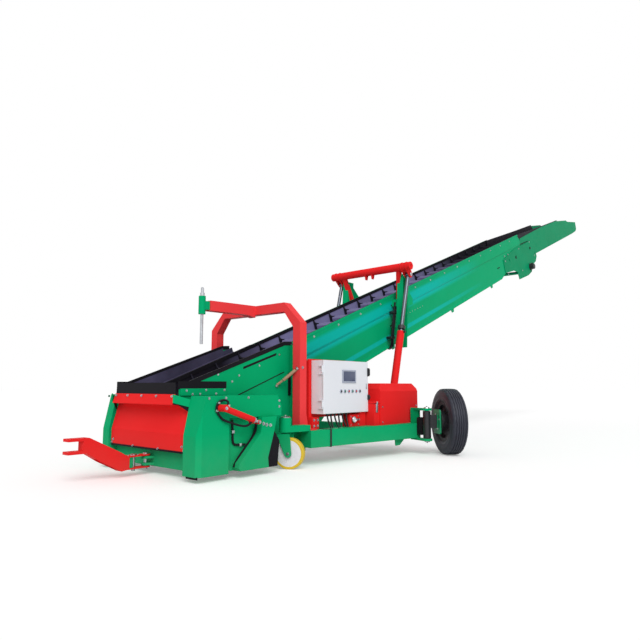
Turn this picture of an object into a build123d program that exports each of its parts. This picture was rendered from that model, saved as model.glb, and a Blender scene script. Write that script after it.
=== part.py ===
from build123d import *
from math import cos, sin, radians, degrees, atan2, hypot
import os

# Mobile potato stacker: a hopper at the low end, a flighted belt on a long inclined boom,
# two lift cylinders, two steerable rear wheels and two front casters.
# Millimetres. +X runs toward the boom's tip, +Z up, the side with the cabinet is -Y.
# Stations are measured along X from the bottom edge of the front panel.

# Running clearances and gaps
RUN_GAP = 0.3
MOVE_GAP = 6.0

# Boom: tail shaft, slope and side plates
BOOM_ANGLE = 21.3
TAIL_STATION = 350.0
TAIL_HEIGHT = 467.0
PLATE_TOP = 302.0
PLATE_BOTTOM = -347.0
BOOM_HALF = 337.0
PLATE_THICK = 4.0
PLATE_STEP = 12.0
PLATE_START = -165.0
PLATE_END = 8640.0
PLATE_LOW_END = 7400.0
CREASE_TOP = 120.0
CREASE_LOW = 90.0
LIP_HEIGHT = 46.0

# Belt, drums and flights
DRUM_RADIUS = 130.0
HEAD_RADIUS = 55.0
HEAD_U = 12660.0
HEAD_W = -110.0
BELT_THICK = 8.0
BELT_HALF = 280.0
FLIGHT_HEIGHT = 105.0
FLIGHT_THICK = 10.0
FLIGHT_FOOT = 45.0
FLIGHT_HALF = 265.0
FLIGHT_PITCH = 350.0
SHAFT_RADIUS = 30.0
IDLER_RADIUS = 38.0
IDLER_SHAFT = 12.0
IDLER_PITCH = 1050.0

# Nose section beyond the main plates
NOSE_START = 7720.0
NOSE_TIP = 12800.0
NOSE_THICK = 5.0
NOSE_BOTTOM = -285.0

# Cross pieces of the boom
CROSS_TUBE = 60.0
CROSS_PITCH = 1200.0
CROSS_FIRST = 700.0
CROSS_COUNT = 6
BRACE_HEIGHT = 40.0
# nose tubes, as shares of the run from the plates' end to the head drum
NOSE_TUBE_SHARES = (33 / 201, 93 / 201, 143 / 201)

# Side liners along the belt
LINER_THICK = 9.0
LINER_TOP = 20.0
LINER_FLOOR_GAP = 6.0

# Lift frame and cylinders
LIFT_BAR_STATION = 3506.0
LIFT_BAR_TOP = 2473.0
LIFT_BAR_HALF = 684.0
LIFT_BAR_RADIUS = 55.0
LEG_SIZE = 70.0
UPRIGHT_DEPTH = 130.0
UPRIGHT_WIDTH = 96.0
UPRIGHT_STAND = 95.0
UPRIGHT_BACK = 110.0
LEG_LOW = 2000.0
UPRIGHT_THICK = 8.0
CYL_Y = 582.0
CYL_BASE_STATION = 3090.0
CYL_BASE_HEIGHT = 387.0
EYE_AHEAD = 86.0
EYE_DROP = 100.0
BARREL_RADIUS = 48.0
BARREL_LENGTH = 1170.0
ROD_RADIUS = 26.0
ROD_INSIDE = 1300.0
EYE_RADIUS = 38.0
EYE_HALF = 25.0
EYE_BORE = 18.0
LUG_THICK = 10.0

# Chassis
BEAM_FRONT_STATION = 1280.0
BEAM_FRONT_Y = 860.0
BEAM_REAR_STATION = 2950.0
BEAM_REAR_Y = 1080.0
BEAM_WIDTH = 160.0
BEAM_LOW = 185.0
BEAM_TOP = 355.0
RAIL_INNER = 440.0
RAIL_OUTER = 530.0
RAIL_LOW = 110.0
RAIL_TOP = 240.0
BEARING_OUTER = 494.0
BEARING_HALF = 60.0
RAIL_START = 70.0
RAIL_END = 1560.0
CROSS_MID_STATION = 1480.0
CROSS_REAR_STATION = 2885.0
CROSS_DEPTH = 130.0
CROSS_LOW = 195.0
CROSS_TOP = 320.0
FRONT_BEAM_DEPTH = 110.0
FRONT_BEAM_STATION = 85.0
FRONT_BEAM_LOW = 72.0

# Hopper
PANEL_HALF = 606.0
PANEL_FRONT = -35.0
PANEL_KINK = 385.0
PANEL_LEAN = 65.0
PANEL_FOOT = 95.0
HOOD_HALF = 495.0
HOOD_HEIGHT = 628.0
HOOD_REACH = 65.0
HOOD_RISE = 30.0
FLAP_STATION = -64.7
PANEL_BOTTOM = 240.0
PANEL_TOP = 727.0
PANEL_THICK = 5.0
FLAP_TOP = 828.0
HOPPER_Y = 500.0
HOPPER_THICK = 6.0
COVER_OUTER = 820.0
COVER_INNER = 612.0
COVER_LOW = 50.0
COVER_TOP = 714.0
COVER_FRONT = -60.0
COVER_LEAN_START = 380.0
COVER_LEAN = 70.0
COVER_LOW_END = 265.0
COVER_BAND_END = 850.0
COVER_BAND_LOW = 520.0
COVER_PROUD = 45.0
COVER_RECESS = 45.0
COVER_END = 838.0
SHEET_THICK = 8.0
GUARD_THICK = 8.0
GUARD_START = (-98.0, -503.0)
GUARD_END = (30.0, -640.0)
CLAMP_LOW = 714.0
STRIP_TOP = 840.0
STRIP_LOW = 776.0
STRIP_END = 478.0

# Gantry with the docking pin
GANTRY_STATION = 1263.0
GANTRY_CLEAR = 122.0
GANTRY_TUBE = 100.0
GANTRY_CORNER = 1451.0
GANTRY_TOP = 1680.0
GANTRY_CHAMFER = 234.0
ARM_WIDTH = 90.0
ARM_TIP_STATION = 640.0
DOCK_STATION = 565.0
DOCK_TUBE_RADIUS = 36.0
DOCK_TUBE_LOW = 1527.0
DOCK_TUBE_TOP = 1713.0
DOCK_PIN_RADIUS = 16.0
DOCK_PIN_LOW = 1222.0
DOCK_PIN_TOP = 1806.0
DOCK_COLLAR = 24.0

# Control cabinet
CABINET_START = 1476.0
CABINET_END = 2250.0
CABINET_LOW = 510.0
CABINET_TOP = 1066.0
CABINET_FACE = 859.0
CABINET_BACK = 679.0
CABINET_WALL = 4.0
DOOR_THICK = 20.0
HINGE_RADIUS = 10.0
HINGE_PIN = 5.0
HINGE_LENGTH = 60.0
HINGE_HEIGHTS = (610.0, 966.0)
CABLE_RADIUS = 9.0

# Power pack
PACK_START = 2360.0
PACK_END = 3160.0
PACK_TOP = 827.0
PACK_OUTER = 950.0
PACK_INNER = 640.0
PACK_CHAMFER = 90.0

# Rear wheels
KINGPIN_STATION = 2921.0
KINGPIN_Y = 1216.0
WHEEL_OFFSET = 269.0
TOE_ANGLE = 40.75
TYRE_RADIUS = 382.5
TYRE_WIDTH = 195.0
RIM_RADIUS = 215.0
RIM_LIP = 232.0
HUB_RADIUS = 95.0
KING_RADIUS = 26.0
KNUCKLE_RADIUS = 46.0
EAR_RADIUS = 58.0
EAR_THICK = 26.0
EAR_LOW = 160.0
EAR_TOP = 536.0
FLANGE_OFFSET = 120.0
FLANGE_THICK = 16.0
FLANGE_HALF = 105.0

# Casters
CASTER_STATION = 1042.0
CASTER_Y = 736.0
CASTER_RADIUS = 150.0
CASTER_TREAD = 24.0
CASTER_WIDTH = 70.0
CASTER_TRAIL = 45.0
CASTER_HEADING = 116.0
STEM_RADIUS = 24.0
STEM_TUBE_RADIUS = 60.0
STEM_TOP = 490.0
STEM_LOW = 350.0
FORK_THICK = 9.0
FORK_TOP = 338.0
CASTER_AXLE = 14.0

# Drawbar and hitch
DRAW_PIN_STATION = -25.0
DRAW_FRONT = -770.0
DRAW_PIN_RADIUS = 17.0
DRAW_WIDTH = 96.0
DRAW_EYE_RADIUS = 46.0
DRAW_LOW = 64.0
DRAW_REAR_TOP = 182.0
HITCH_EYE_RADIUS = 17.5
HITCH_THICK = 22.0
FORK_PLATE = 12.0
FORK_END = -235.0
HITCH_RADIUS = 38.0
PIN_HEAD = 26.0
LOCK_PIN_STATION = -150.0

COS = cos(radians(BOOM_ANGLE))
SIN = sin(radians(BOOM_ANGLE))
TIP_STATION = TAIL_STATION + NOSE_TIP * COS - (NOSE_BOTTOM + 50.0) * SIN
MID_STATION = (DRAW_FRONT + TIP_STATION) / 2

ROD_EYE_STATION = LIFT_BAR_STATION + EYE_AHEAD
ROD_EYE_HEIGHT = LIFT_BAR_TOP - LIFT_BAR_RADIUS - EYE_DROP
GANTRY_HALF = HOPPER_Y + GANTRY_CLEAR + GANTRY_TUBE

BELT_OUT = DRUM_RADIUS + BELT_THICK
PLATE_INNER = BOOM_HALF - PLATE_THICK
LOW_INNER = BOOM_HALF - PLATE_STEP - PLATE_THICK


def station(s):
    """X of a station."""
    return s - MID_STATION


def side_plane(y):
    """Side view: local x is the station, local y the height; solids grow toward -Y."""
    return Plane(origin=(station(0), y, 0), x_dir=(1, 0, 0), z_dir=(0, -1, 0))


def plan_plane(z):
    """Plan view at a height: local x is the station, local y is Y."""
    return Plane(origin=(station(0), 0, z))


def front_plane(s):
    """Front view at a station: local x is Y, local y the height; solids grow toward +X."""
    return Plane(origin=(station(s), 0, 0), x_dir=(0, 1, 0), z_dir=(1, 0, 0))


def boom_plane(y):
    """Side view along the boom: local x from the tail shaft up the slope, local y square to it."""
    return Plane(origin=(station(TAIL_STATION), y, TAIL_HEIGHT), x_dir=(COS, 0, SIN), z_dir=(0, -1, 0))


def boom_section(u):
    """Cut square through the boom: local x is Y, local y is square to the belt."""
    origin = (station(TAIL_STATION) + u * COS, 0, TAIL_HEIGHT + u * SIN)
    return Plane(origin=origin, x_dir=(0, 1, 0), z_dir=(COS, 0, SIN))


beam_slope = atan2(BEAM_REAR_Y - BEAM_FRONT_Y, BEAM_REAR_STATION - BEAM_FRONT_STATION)
beam_in_x = sin(beam_slope) * BEAM_WIDTH
beam_in_y = cos(beam_slope) * BEAM_WIDTH


def beam_inner(s):
    """Half-width between the inner faces of the side beams at a station."""
    return BEAM_FRONT_Y + (s - BEAM_FRONT_STATION - beam_in_x) * sin(beam_slope) / cos(beam_slope) - beam_in_y


def cross_outline(middle):
    """Plan of a cross member whose ends meet the splayed beams."""
    first = middle - CROSS_DEPTH / 2
    last = middle + CROSS_DEPTH / 2
    return [
        (first, -beam_inner(first)),
        (last, -beam_inner(last)),
        (last, beam_inner(last)),
        (first, beam_inner(first)),
    ]


# Base frame: welded ladder under the hopper with the tail bearings and the hitch plates
rail_mid = (RAIL_INNER + RAIL_OUTER) / 2
with BuildPart() as base_frame:
    with BuildSketch(plan_plane(RAIL_LOW)):
        for side in (-1, 1):
            with Locations(((RAIL_START + RAIL_END) / 2, side * rail_mid)):
                Rectangle(RAIL_END - RAIL_START, RAIL_OUTER - RAIL_INNER)
    extrude(amount=RAIL_TOP - RAIL_LOW)
    with BuildSketch(plan_plane(FRONT_BEAM_LOW)):
        with Locations((FRONT_BEAM_STATION, 0)):
            Rectangle(FRONT_BEAM_DEPTH, 2 * COVER_INNER)
    extrude(amount=PANEL_BOTTOM - PANEL_THICK - FRONT_BEAM_LOW)
    with BuildSketch(plan_plane(CROSS_LOW)):
        Polygon(*cross_outline(CROSS_MID_STATION), align=None)
    extrude(amount=CROSS_TOP - CROSS_LOW)
    # bearing blocks that carry the boom's tail shaft
    with BuildSketch(side_plane(-RAIL_INNER)):
        with BuildLine():
            Polyline(
                (TAIL_STATION + BEARING_HALF, TAIL_HEIGHT),
                (TAIL_STATION + BEARING_HALF + 50, RAIL_TOP - 10),
                (TAIL_STATION - BEARING_HALF - 50, RAIL_TOP - 10),
                (TAIL_STATION - BEARING_HALF, TAIL_HEIGHT),
            )
            ThreePointArc(
                (TAIL_STATION - BEARING_HALF, TAIL_HEIGHT),
                (TAIL_STATION, TAIL_HEIGHT + BEARING_HALF),
                (TAIL_STATION + BEARING_HALF, TAIL_HEIGHT),
            )
        make_face()
        with Locations((TAIL_STATION, TAIL_HEIGHT)):
            Circle(SHAFT_RADIUS + RUN_GAP, mode=Mode.SUBTRACT)
    bearing = extrude(amount=BEARING_OUTER - RAIL_INNER)
    mirror(bearing, about=Plane.XZ)
    # two hitch lugs on the front beam hold the drawbar's pivot pin
    beam_face = FRONT_BEAM_STATION - FRONT_BEAM_DEPTH / 2
    lug_low = DRAW_LOW + FORK_PLATE + MOVE_GAP
    lug_top = DRAW_REAR_TOP - FORK_PLATE - MOVE_GAP
    for low in (lug_low, lug_top - HITCH_THICK):
        with BuildSketch(plan_plane(low)):
            with Locations((DRAW_PIN_STATION, 0)):
                Circle(HITCH_RADIUS)
            with Locations((beam_face + 3, 0)):
                Rectangle(6, 3 * HITCH_RADIUS)
            make_hull()
            with Locations((DRAW_PIN_STATION, 0)):
                Circle(DRAW_PIN_RADIUS, mode=Mode.SUBTRACT)
        extrude(amount=HITCH_THICK)
base_frame.part.label = "base_frame"

# Rear cross member with the lugs for the feet of the lift cylinders
with BuildPart() as rear_cross:
    with BuildSketch(plan_plane(CROSS_LOW)):
        Polygon(*cross_outline(CROSS_REAR_STATION), align=None)
    extrude(amount=CROSS_TOP - CROSS_LOW)
    for hand in (-1, 1):
        lug_y = CYL_Y + hand * (EYE_HALF + MOVE_GAP + LUG_THICK / 2)
        with BuildSketch(side_plane(-lug_y + LUG_THICK / 2)):
            with Locations((CYL_BASE_STATION, CYL_BASE_HEIGHT)):
                Circle(EYE_RADIUS)
            with Locations((CROSS_REAR_STATION + CROSS_DEPTH / 2 - 2, (CROSS_LOW + CROSS_TOP) / 2)):
                Rectangle(4, CROSS_TOP - CROSS_LOW)
            make_hull()
            with Locations((CYL_BASE_STATION, CYL_BASE_HEIGHT)):
                Circle(EYE_BORE, mode=Mode.SUBTRACT)
        lug = extrude(amount=LUG_THICK)
        mirror(lug, about=Plane.XZ)
rear_cross.part.label = "rear_cross"

# Side beams: splayed box beams with the caster stem tube in front and the wheel yoke behind
with BuildPart() as side_beams:
    with BuildSketch(plan_plane(BEAM_LOW)):
        Polygon(
            (BEAM_FRONT_STATION, -BEAM_FRONT_Y),
            (BEAM_REAR_STATION, -BEAM_REAR_Y),
            (BEAM_REAR_STATION + beam_in_x, -BEAM_REAR_Y + beam_in_y),
            (BEAM_FRONT_STATION + beam_in_x, -BEAM_FRONT_Y + beam_in_y),
            align=None,
        )
    extrude(amount=BEAM_TOP - BEAM_LOW)
    # caster stem tube on an arm over the beam's front end
    with BuildSketch(plan_plane(BEAM_TOP - 5)):
        with Locations((CASTER_STATION, -CASTER_Y)):
            Circle(STEM_TUBE_RADIUS)
        with Locations((BEAM_FRONT_STATION + 12, -BEAM_FRONT_Y + BEAM_WIDTH / 2 - 4)):
            Rectangle(20, 98)
        make_hull()
    extrude(amount=60)
    with BuildSketch(plan_plane(STEM_LOW)):
        with Locations((CASTER_STATION, -CASTER_Y)):
            Circle(STEM_TUBE_RADIUS)
    extrude(amount=STEM_TOP - STEM_LOW)
    with BuildSketch(plan_plane(STEM_LOW)):
        with Locations((CASTER_STATION, -CASTER_Y)):
            Circle(STEM_RADIUS + RUN_GAP)
    extrude(amount=STEM_TOP - STEM_LOW - 20, mode=Mode.SUBTRACT)
    # wheel yoke: end plate and two ears round the kingpin
    with BuildSketch(plan_plane(EAR_LOW)):
        Polygon(
            (BEAM_REAR_STATION - 4, -BEAM_REAR_Y - 5),
            (BEAM_REAR_STATION + 30, -BEAM_REAR_Y - 12),
            (BEAM_REAR_STATION + 44, -BEAM_REAR_Y + 103),
            (BEAM_REAR_STATION + 10, -BEAM_REAR_Y + 110),
            align=None,
        )
    extrude(amount=EAR_TOP - EAR_LOW)
    for low in (EAR_LOW, EAR_TOP - EAR_THICK):
        with BuildSketch(plan_plane(low)):
            with Locations((KINGPIN_STATION, -KINGPIN_Y)):
                Circle(EAR_RADIUS)
            with Locations((BEAM_REAR_STATION + 18, -BEAM_REAR_Y + 40)):
                Rectangle(36, 40)
            make_hull()
            with Locations((KINGPIN_STATION, -KINGPIN_Y)):
                Circle(KING_RADIUS + RUN_GAP, mode=Mode.SUBTRACT)
        extrude(amount=EAR_THICK)
    # hose bracket under the beam
    with BuildSketch(side_plane(-980)):
        Polygon((2590, BEAM_LOW), (2600, BEAM_LOW - 70), (2680, BEAM_LOW - 70), (2790, BEAM_LOW), align=None)
    extrude(amount=12)
    mirror(about=Plane.XZ)
side_beams.part.label = "side_beams"

# Front panel: folded red sheet on the front beam, with a narrower hood that clamps the flap
panel_top = PANEL_FRONT + PANEL_LEAN
hood_lip = panel_top - 2 * HOOD_REACH
with BuildPart() as front_panel:
    with BuildSketch(side_plane(PANEL_HALF)):
        Polygon(
            (PANEL_FRONT, PANEL_BOTTOM - PANEL_THICK),
            (PANEL_FRONT, PANEL_KINK),
            (panel_top, HOOD_HEIGHT),
            (panel_top + PANEL_THICK, HOOD_HEIGHT),
            (PANEL_FRONT + PANEL_THICK, PANEL_KINK - 1),
            (PANEL_FRONT + PANEL_THICK, PANEL_BOTTOM),
            (PANEL_FRONT + PANEL_FOOT, PANEL_BOTTOM),
            (PANEL_FRONT + PANEL_FOOT, PANEL_BOTTOM - PANEL_THICK),
            align=None,
        )
    extrude(amount=2 * PANEL_HALF)
    with BuildSketch(side_plane(HOOD_HALF)):
        Polygon(
            (panel_top + 3, HOOD_HEIGHT - 6),
            (hood_lip, HOOD_HEIGHT + 8),
            (hood_lip + HOOD_RISE, PANEL_TOP),
            (hood_lip + HOOD_RISE + PANEL_THICK, PANEL_TOP),
            (hood_lip + PANEL_THICK + 2, HOOD_HEIGHT + 13),
            (panel_top + 3, HOOD_HEIGHT - 1),
            align=None,
        )
    extrude(amount=2 * HOOD_HALF)
front_panel.part.label = "front_panel"

# Hopper side plates with a long slot, standing on the rails
with BuildPart() as hopper_sides:
    with BuildSketch(side_plane(-HOPPER_Y)):
        Polygon(
            (-40, 652),
            (-40, 768),
            (77, 808),
            (1254, 1225),
            (1350, 1232),
            (1350, 470),
            (1180, RAIL_TOP),
            (460, RAIL_TOP),
            (72, 560),
            (48, 652),
            align=None,
        )
        Polygon((690, 958), (1140, 1112), (1140, 1136), (690, 982), align=None, mode=Mode.SUBTRACT)
    extrude(amount=HOPPER_THICK)
    with BuildSketch(side_plane(-HOPPER_Y)):
        Polygon((1344, 1232), (1350, 1232), (1350, 470), (1344, 470), align=None)
    extrude(amount=46)
    mirror(about=Plane.XZ)
hopper_sides.part.label = "hopper_sides"

# Side covers: closed sheet boxes over the drives beside the hopper
cover_outline = [
    (COVER_FRONT, COVER_LOW),
    (COVER_FRONT, COVER_LEAN_START),
    (COVER_FRONT + COVER_LEAN, COVER_TOP),
    (COVER_BAND_END, COVER_TOP),
    (COVER_BAND_END + 55, COVER_TOP - 105),
    (COVER_BAND_END + 50, COVER_BAND_LOW),
    (COVER_LOW_END, COVER_BAND_LOW),
    (COVER_LOW_END, COVER_LOW),
]
with BuildPart() as front_covers:
    with BuildSketch(side_plane(-COVER_INNER)):
        Polygon(*cover_outline, align=None)
    extrude(amount=COVER_OUTER - COVER_INNER)
    mirror(about=Plane.XZ)
    # the outer front corners are cut back, more on the far side
    cover_x = station(COVER_FRONT)
    corners = front_covers.edges().filter_by_position(Axis.X, cover_x - 1, cover_x + 40)
    near_corner = corners.group_by(Axis.Y)[0].filter_by(Axis.Z)
    far_corner = corners.group_by(Axis.Y)[-1]
    chamfer(near_corner, length=38)
    chamfer(far_corner, length=95)
front_covers.part.label = "front_covers"

# Rear covers: recessed inner box with a proud outer box whose front edge slopes
band_under = COVER_BAND_LOW - RUN_GAP
with BuildPart() as rear_covers:
    with BuildSketch(side_plane(-COVER_INNER)):
        Polygon(
            (COVER_LOW_END + RUN_GAP, COVER_LOW + 35),
            (COVER_LOW_END + RUN_GAP, band_under),
            (COVER_END, band_under),
            (COVER_END, COVER_LOW + 15),
            (COVER_LOW_END + 60, COVER_LOW + 15),
            align=None,
        )
    extrude(amount=COVER_OUTER - COVER_RECESS - COVER_INNER)
    with BuildSketch(side_plane(-COVER_OUTER + COVER_RECESS)):
        Polygon(
            (342, COVER_LOW + 40),
            (358, COVER_LOW + 15),
            (700, COVER_LOW + 15),
            (690, 152),
            (766, 385),
            (800, band_under),
            (612, band_under),
            (600, 381),
            (350, 130),
            align=None,
        )
    extrude(amount=COVER_PROUD + COVER_RECESS)
    mirror(about=Plane.XZ)
rear_covers.part.label = "rear_covers"

# Upright plane across the hopper mouth's corner, from the hood's end to the side cover
guard_run = hypot(GUARD_END[0] - GUARD_START[0], GUARD_END[1] - GUARD_START[1])
guard_dir = ((GUARD_END[0] - GUARD_START[0]) / guard_run, (GUARD_END[1] - GUARD_START[1]) / guard_run)
guard_plane = Plane(
    origin=(station(GUARD_START[0]), GUARD_START[1], 0),
    x_dir=(guard_dir[0], guard_dir[1], 0),
    z_dir=(guard_dir[1], -guard_dir[0], 0),
)

# Rubber of the hopper mouth: front flap, side strips and corner pieces under the guards
with BuildPart() as hopper_rubber:
    with BuildSketch(front_plane(FLAP_STATION)):
        Polygon(
            (-HOOD_HALF, PANEL_TOP - 27),
            (HOOD_HALF, PANEL_TOP - 27),
            (HOOD_HALF - 10, FLAP_TOP),
            (-HOOD_HALF + 10, FLAP_TOP),
            align=None,
        )
    extrude(amount=SHEET_THICK)
    with BuildSketch(side_plane(-HOPPER_Y - HOPPER_THICK)):
        Polygon(
            (-50, STRIP_LOW),
            (-50, STRIP_TOP),
            (STRIP_END, STRIP_TOP),
            (STRIP_END, STRIP_LOW),
            align=None,
        )
    strip = extrude(amount=SHEET_THICK)
    mirror(strip, about=Plane.XZ)
    with BuildSketch(guard_plane):
        Polygon((20, 652), (guard_run, 615), (guard_run, 545), align=None)
    extrude(amount=-SHEET_THICK)
    with BuildSketch(side_plane(-COVER_INNER)):
        Polygon(*cover_outline, align=None)
    extrude(amount=COVER_OUTER - COVER_INNER, mode=Mode.SUBTRACT)
    corner_rubber = hopper_rubber.solids().sort_by(Axis.Y)[0]
    mirror(corner_rubber, about=Plane.XZ)
    # soft end pieces behind the proud boxes of the rear covers
    with BuildSketch(side_plane(-COVER_OUTER + COVER_RECESS)):
        Polygon(
            (702, COVER_LOW + 15),
            (815, COVER_LOW + 15),
            (COVER_END, 297),
            (769, 385),
            (693, 152),
            align=None,
        )
    end_piece = extrude(amount=COVER_PROUD + COVER_RECESS - 5)
    mirror(end_piece, about=Plane.XZ)
hopper_rubber.part.label = "hopper_rubber"

# Bolted clamp strips and corner guards of the hopper mouth
with BuildPart() as hopper_trims:
    with BuildSketch(side_plane(-HOPPER_Y - HOPPER_THICK)):
        Polygon(
            (-30, CLAMP_LOW),
            (-30, STRIP_LOW),
            (STRIP_END, STRIP_LOW),
            (STRIP_END, CLAMP_LOW),
            align=None,
        )
    extrude(amount=14)
    with BuildSketch(guard_plane):
        Polygon((0, 655), (0, 727), (guard_run, 672), (guard_run, 606), align=None)
    extrude(amount=GUARD_THICK)
    with BuildSketch(side_plane(-COVER_INNER)):
        Polygon(*cover_outline, align=None)
    extrude(amount=COVER_OUTER - COVER_INNER, mode=Mode.SUBTRACT)
    mirror(about=Plane.XZ)
hopper_trims.part.label = "hopper_trims"

# Rubber sheets that lead the crop from the hopper sides to the belt
sheet_low_y = BOOM_HALF + 26.0
with BuildPart() as hopper_sheets:
    with BuildSketch(boom_section(-230)):
        Polygon(
            (-HOPPER_Y, 300),
            (-HOPPER_Y, 352),
            (-HOPPER_Y + SHEET_THICK, 352),
            (-HOPPER_Y + SHEET_THICK, 304),
            (-sheet_low_y, 236),
            (-sheet_low_y, 228),
            align=None,
        )
    extrude(amount=1480)
    with BuildSketch(side_plane(-HOPPER_Y + SHEET_THICK)):
        Polygon((24, 690), (24, 797), (77, 816), (1254, 1233), (1254, 1165), align=None)
    extrude(amount=SHEET_THICK)
    mirror(about=Plane.XZ)
hopper_sheets.part.label = "hopper_sheets"

# Gantry posts bent inward at the top, standing on foot plates on the side beams
gantry_in = GANTRY_HALF - GANTRY_TUBE
bend_in = GANTRY_TUBE * 0.4142
with BuildPart() as gantry_posts:
    with BuildSketch(front_plane(GANTRY_STATION)):
        Polygon(
            (-GANTRY_HALF, BEAM_TOP),
            (-GANTRY_HALF, GANTRY_CORNER),
            (-GANTRY_HALF + GANTRY_CHAMFER, GANTRY_TOP),
            (-GANTRY_HALF + GANTRY_CHAMFER, GANTRY_TOP - GANTRY_TUBE),
            (-gantry_in, GANTRY_CORNER - bend_in),
            (-gantry_in, BEAM_TOP),
            align=None,
        )
    extrude(amount=GANTRY_TUBE)
    with BuildSketch(plan_plane(BEAM_TOP)):
        with Locations((GANTRY_STATION + 84, -GANTRY_HALF - 10)):
            Rectangle(90, 220)
    extrude(amount=14)
    with BuildSketch(side_plane(-GANTRY_HALF)):
        Polygon(
            (GANTRY_STATION + GANTRY_TUBE, BEAM_TOP),
            (GANTRY_STATION + GANTRY_TUBE + 34, BEAM_TOP),
            (GANTRY_STATION + GANTRY_TUBE, BEAM_TOP + 160),
            align=None,
        )
    extrude(amount=-12)
    mirror(about=Plane.XZ)
gantry_posts.part.label = "gantry_posts"

# Gantry beam with the forward arm
with BuildPart() as gantry_beam:
    with BuildSketch(front_plane(GANTRY_STATION)):
        with Locations((0, GANTRY_TOP - GANTRY_TUBE / 2)):
            Rectangle(2 * (GANTRY_HALF - GANTRY_CHAMFER), GANTRY_TUBE)
    extrude(amount=GANTRY_TUBE)
    with BuildSketch(side_plane(ARM_WIDTH / 2)):
        Polygon(
            (ARM_TIP_STATION, 1567),
            (ARM_TIP_STATION, 1672),
            (GANTRY_STATION, GANTRY_TOP),
            (GANTRY_STATION, GANTRY_TOP - GANTRY_TUBE - 30),
            (GANTRY_STATION - 120, GANTRY_TOP - GANTRY_TUBE - 10),
            align=None,
        )
    extrude(amount=ARM_WIDTH)
gantry_beam.part.label = "gantry_beam"

# Green bush tube at the arm's end and the docking pin it holds
with BuildPart() as docking_bush:
    with BuildSketch(plan_plane(DOCK_TUBE_LOW)):
        with Locations((DOCK_STATION, 0)):
            Circle(DOCK_TUBE_RADIUS)
    extrude(amount=DOCK_TUBE_TOP - DOCK_TUBE_LOW)
    with BuildSketch(plan_plane(1575)):
        with Locations(((DOCK_STATION + ARM_TIP_STATION) / 2, 0)):
            Rectangle(ARM_TIP_STATION - DOCK_STATION, ARM_WIDTH - 26)
    extrude(amount=88)
    with BuildSketch(plan_plane(DOCK_TUBE_LOW)):
        with Locations((DOCK_STATION, 0)):
            Circle(DOCK_PIN_RADIUS)
    extrude(amount=DOCK_TUBE_TOP - DOCK_TUBE_LOW, mode=Mode.SUBTRACT)
docking_bush.part.label = "docking_bush"

with BuildPart() as docking_pin:
    with BuildSketch(plan_plane(DOCK_PIN_LOW)):
        with Locations((DOCK_STATION, 0)):
            Circle(DOCK_PIN_RADIUS)
    extrude(amount=DOCK_PIN_TOP - DOCK_PIN_LOW)
    with BuildSketch(plan_plane(DOCK_TUBE_TOP)):
        with Locations((DOCK_STATION, 0)):
            Circle(DOCK_COLLAR)
    extrude(amount=34)
    chamfer(docking_pin.faces().sort_by(Axis.Z)[-1].edges(), length=8)
docking_pin.part.label = "docking_pin"

# Control cabinet: open sheet box, hinged door, red carrier and cables
door_back = CABINET_FACE - DOOR_THICK
hinge_s = CABINET_START - HINGE_RADIUS
hinge_y = CABINET_FACE - HINGE_RADIUS
leaf_gap = 3.0
leaf_height = 15.0
with BuildPart() as cabinet_body:
    with BuildSketch(side_plane(-CABINET_BACK)):
        with Locations(((CABINET_START + CABINET_END) / 2, (CABINET_LOW + CABINET_TOP) / 2)):
            Rectangle(CABINET_END - CABINET_START, CABINET_TOP - CABINET_LOW)
    extrude(amount=door_back - 5 - CABINET_BACK)
    mouth = cabinet_body.faces().sort_by(Axis.Y)[0]
    offset(amount=-CABINET_WALL, openings=mouth)
    # hinge pins on small leaves at the left edge
    for middle in HINGE_HEIGHTS:
        reach = HINGE_LENGTH / 2 + leaf_gap + leaf_height
        for low in (middle - reach, middle + HINGE_LENGTH / 2 + leaf_gap):
            with BuildSketch(plan_plane(low)):
                Polygon(
                    (hinge_s - 6, -hinge_y - 4),
                    (hinge_s + 3, -hinge_y - 4),
                    (hinge_s + 3, -hinge_y + 14),
                    (CABINET_START, -hinge_y + 18),
                    (CABINET_START, -hinge_y + 50),
                    (hinge_s - 6, -hinge_y + 50),
                    align=None,
                )
            extrude(amount=leaf_height)
        with BuildSketch(plan_plane(middle - reach)):
            with Locations((hinge_s, -hinge_y)):
                Circle(HINGE_PIN)
        extrude(amount=2 * reach)
cabinet_body.part.label = "cabinet_body"

with BuildPart() as cabinet_door:
    with BuildSketch(side_plane(-door_back)):
        with Locations(((CABINET_START + CABINET_END) / 2, (CABINET_LOW + CABINET_TOP) / 2)):
            Rectangle(CABINET_END - CABINET_START, CABINET_TOP - CABINET_LOW)
    extrude(amount=DOOR_THICK)
    fillet(cabinet_door.faces().sort_by(Axis.Y)[0].edges(), radius=6)
    for middle in HINGE_HEIGHTS:
        with BuildSketch(plan_plane(middle - HINGE_LENGTH / 2)):
            with Locations((hinge_s, -hinge_y)):
                Circle(HINGE_RADIUS)
            with Locations((hinge_s + 8, -hinge_y + 2)):
                Rectangle(16, 8)
            with Locations((hinge_s, -hinge_y)):
                Circle(HINGE_PIN + RUN_GAP, mode=Mode.SUBTRACT)
        extrude(amount=HINGE_LENGTH)
cabinet_door.part.label = "cabinet_door"

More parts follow.
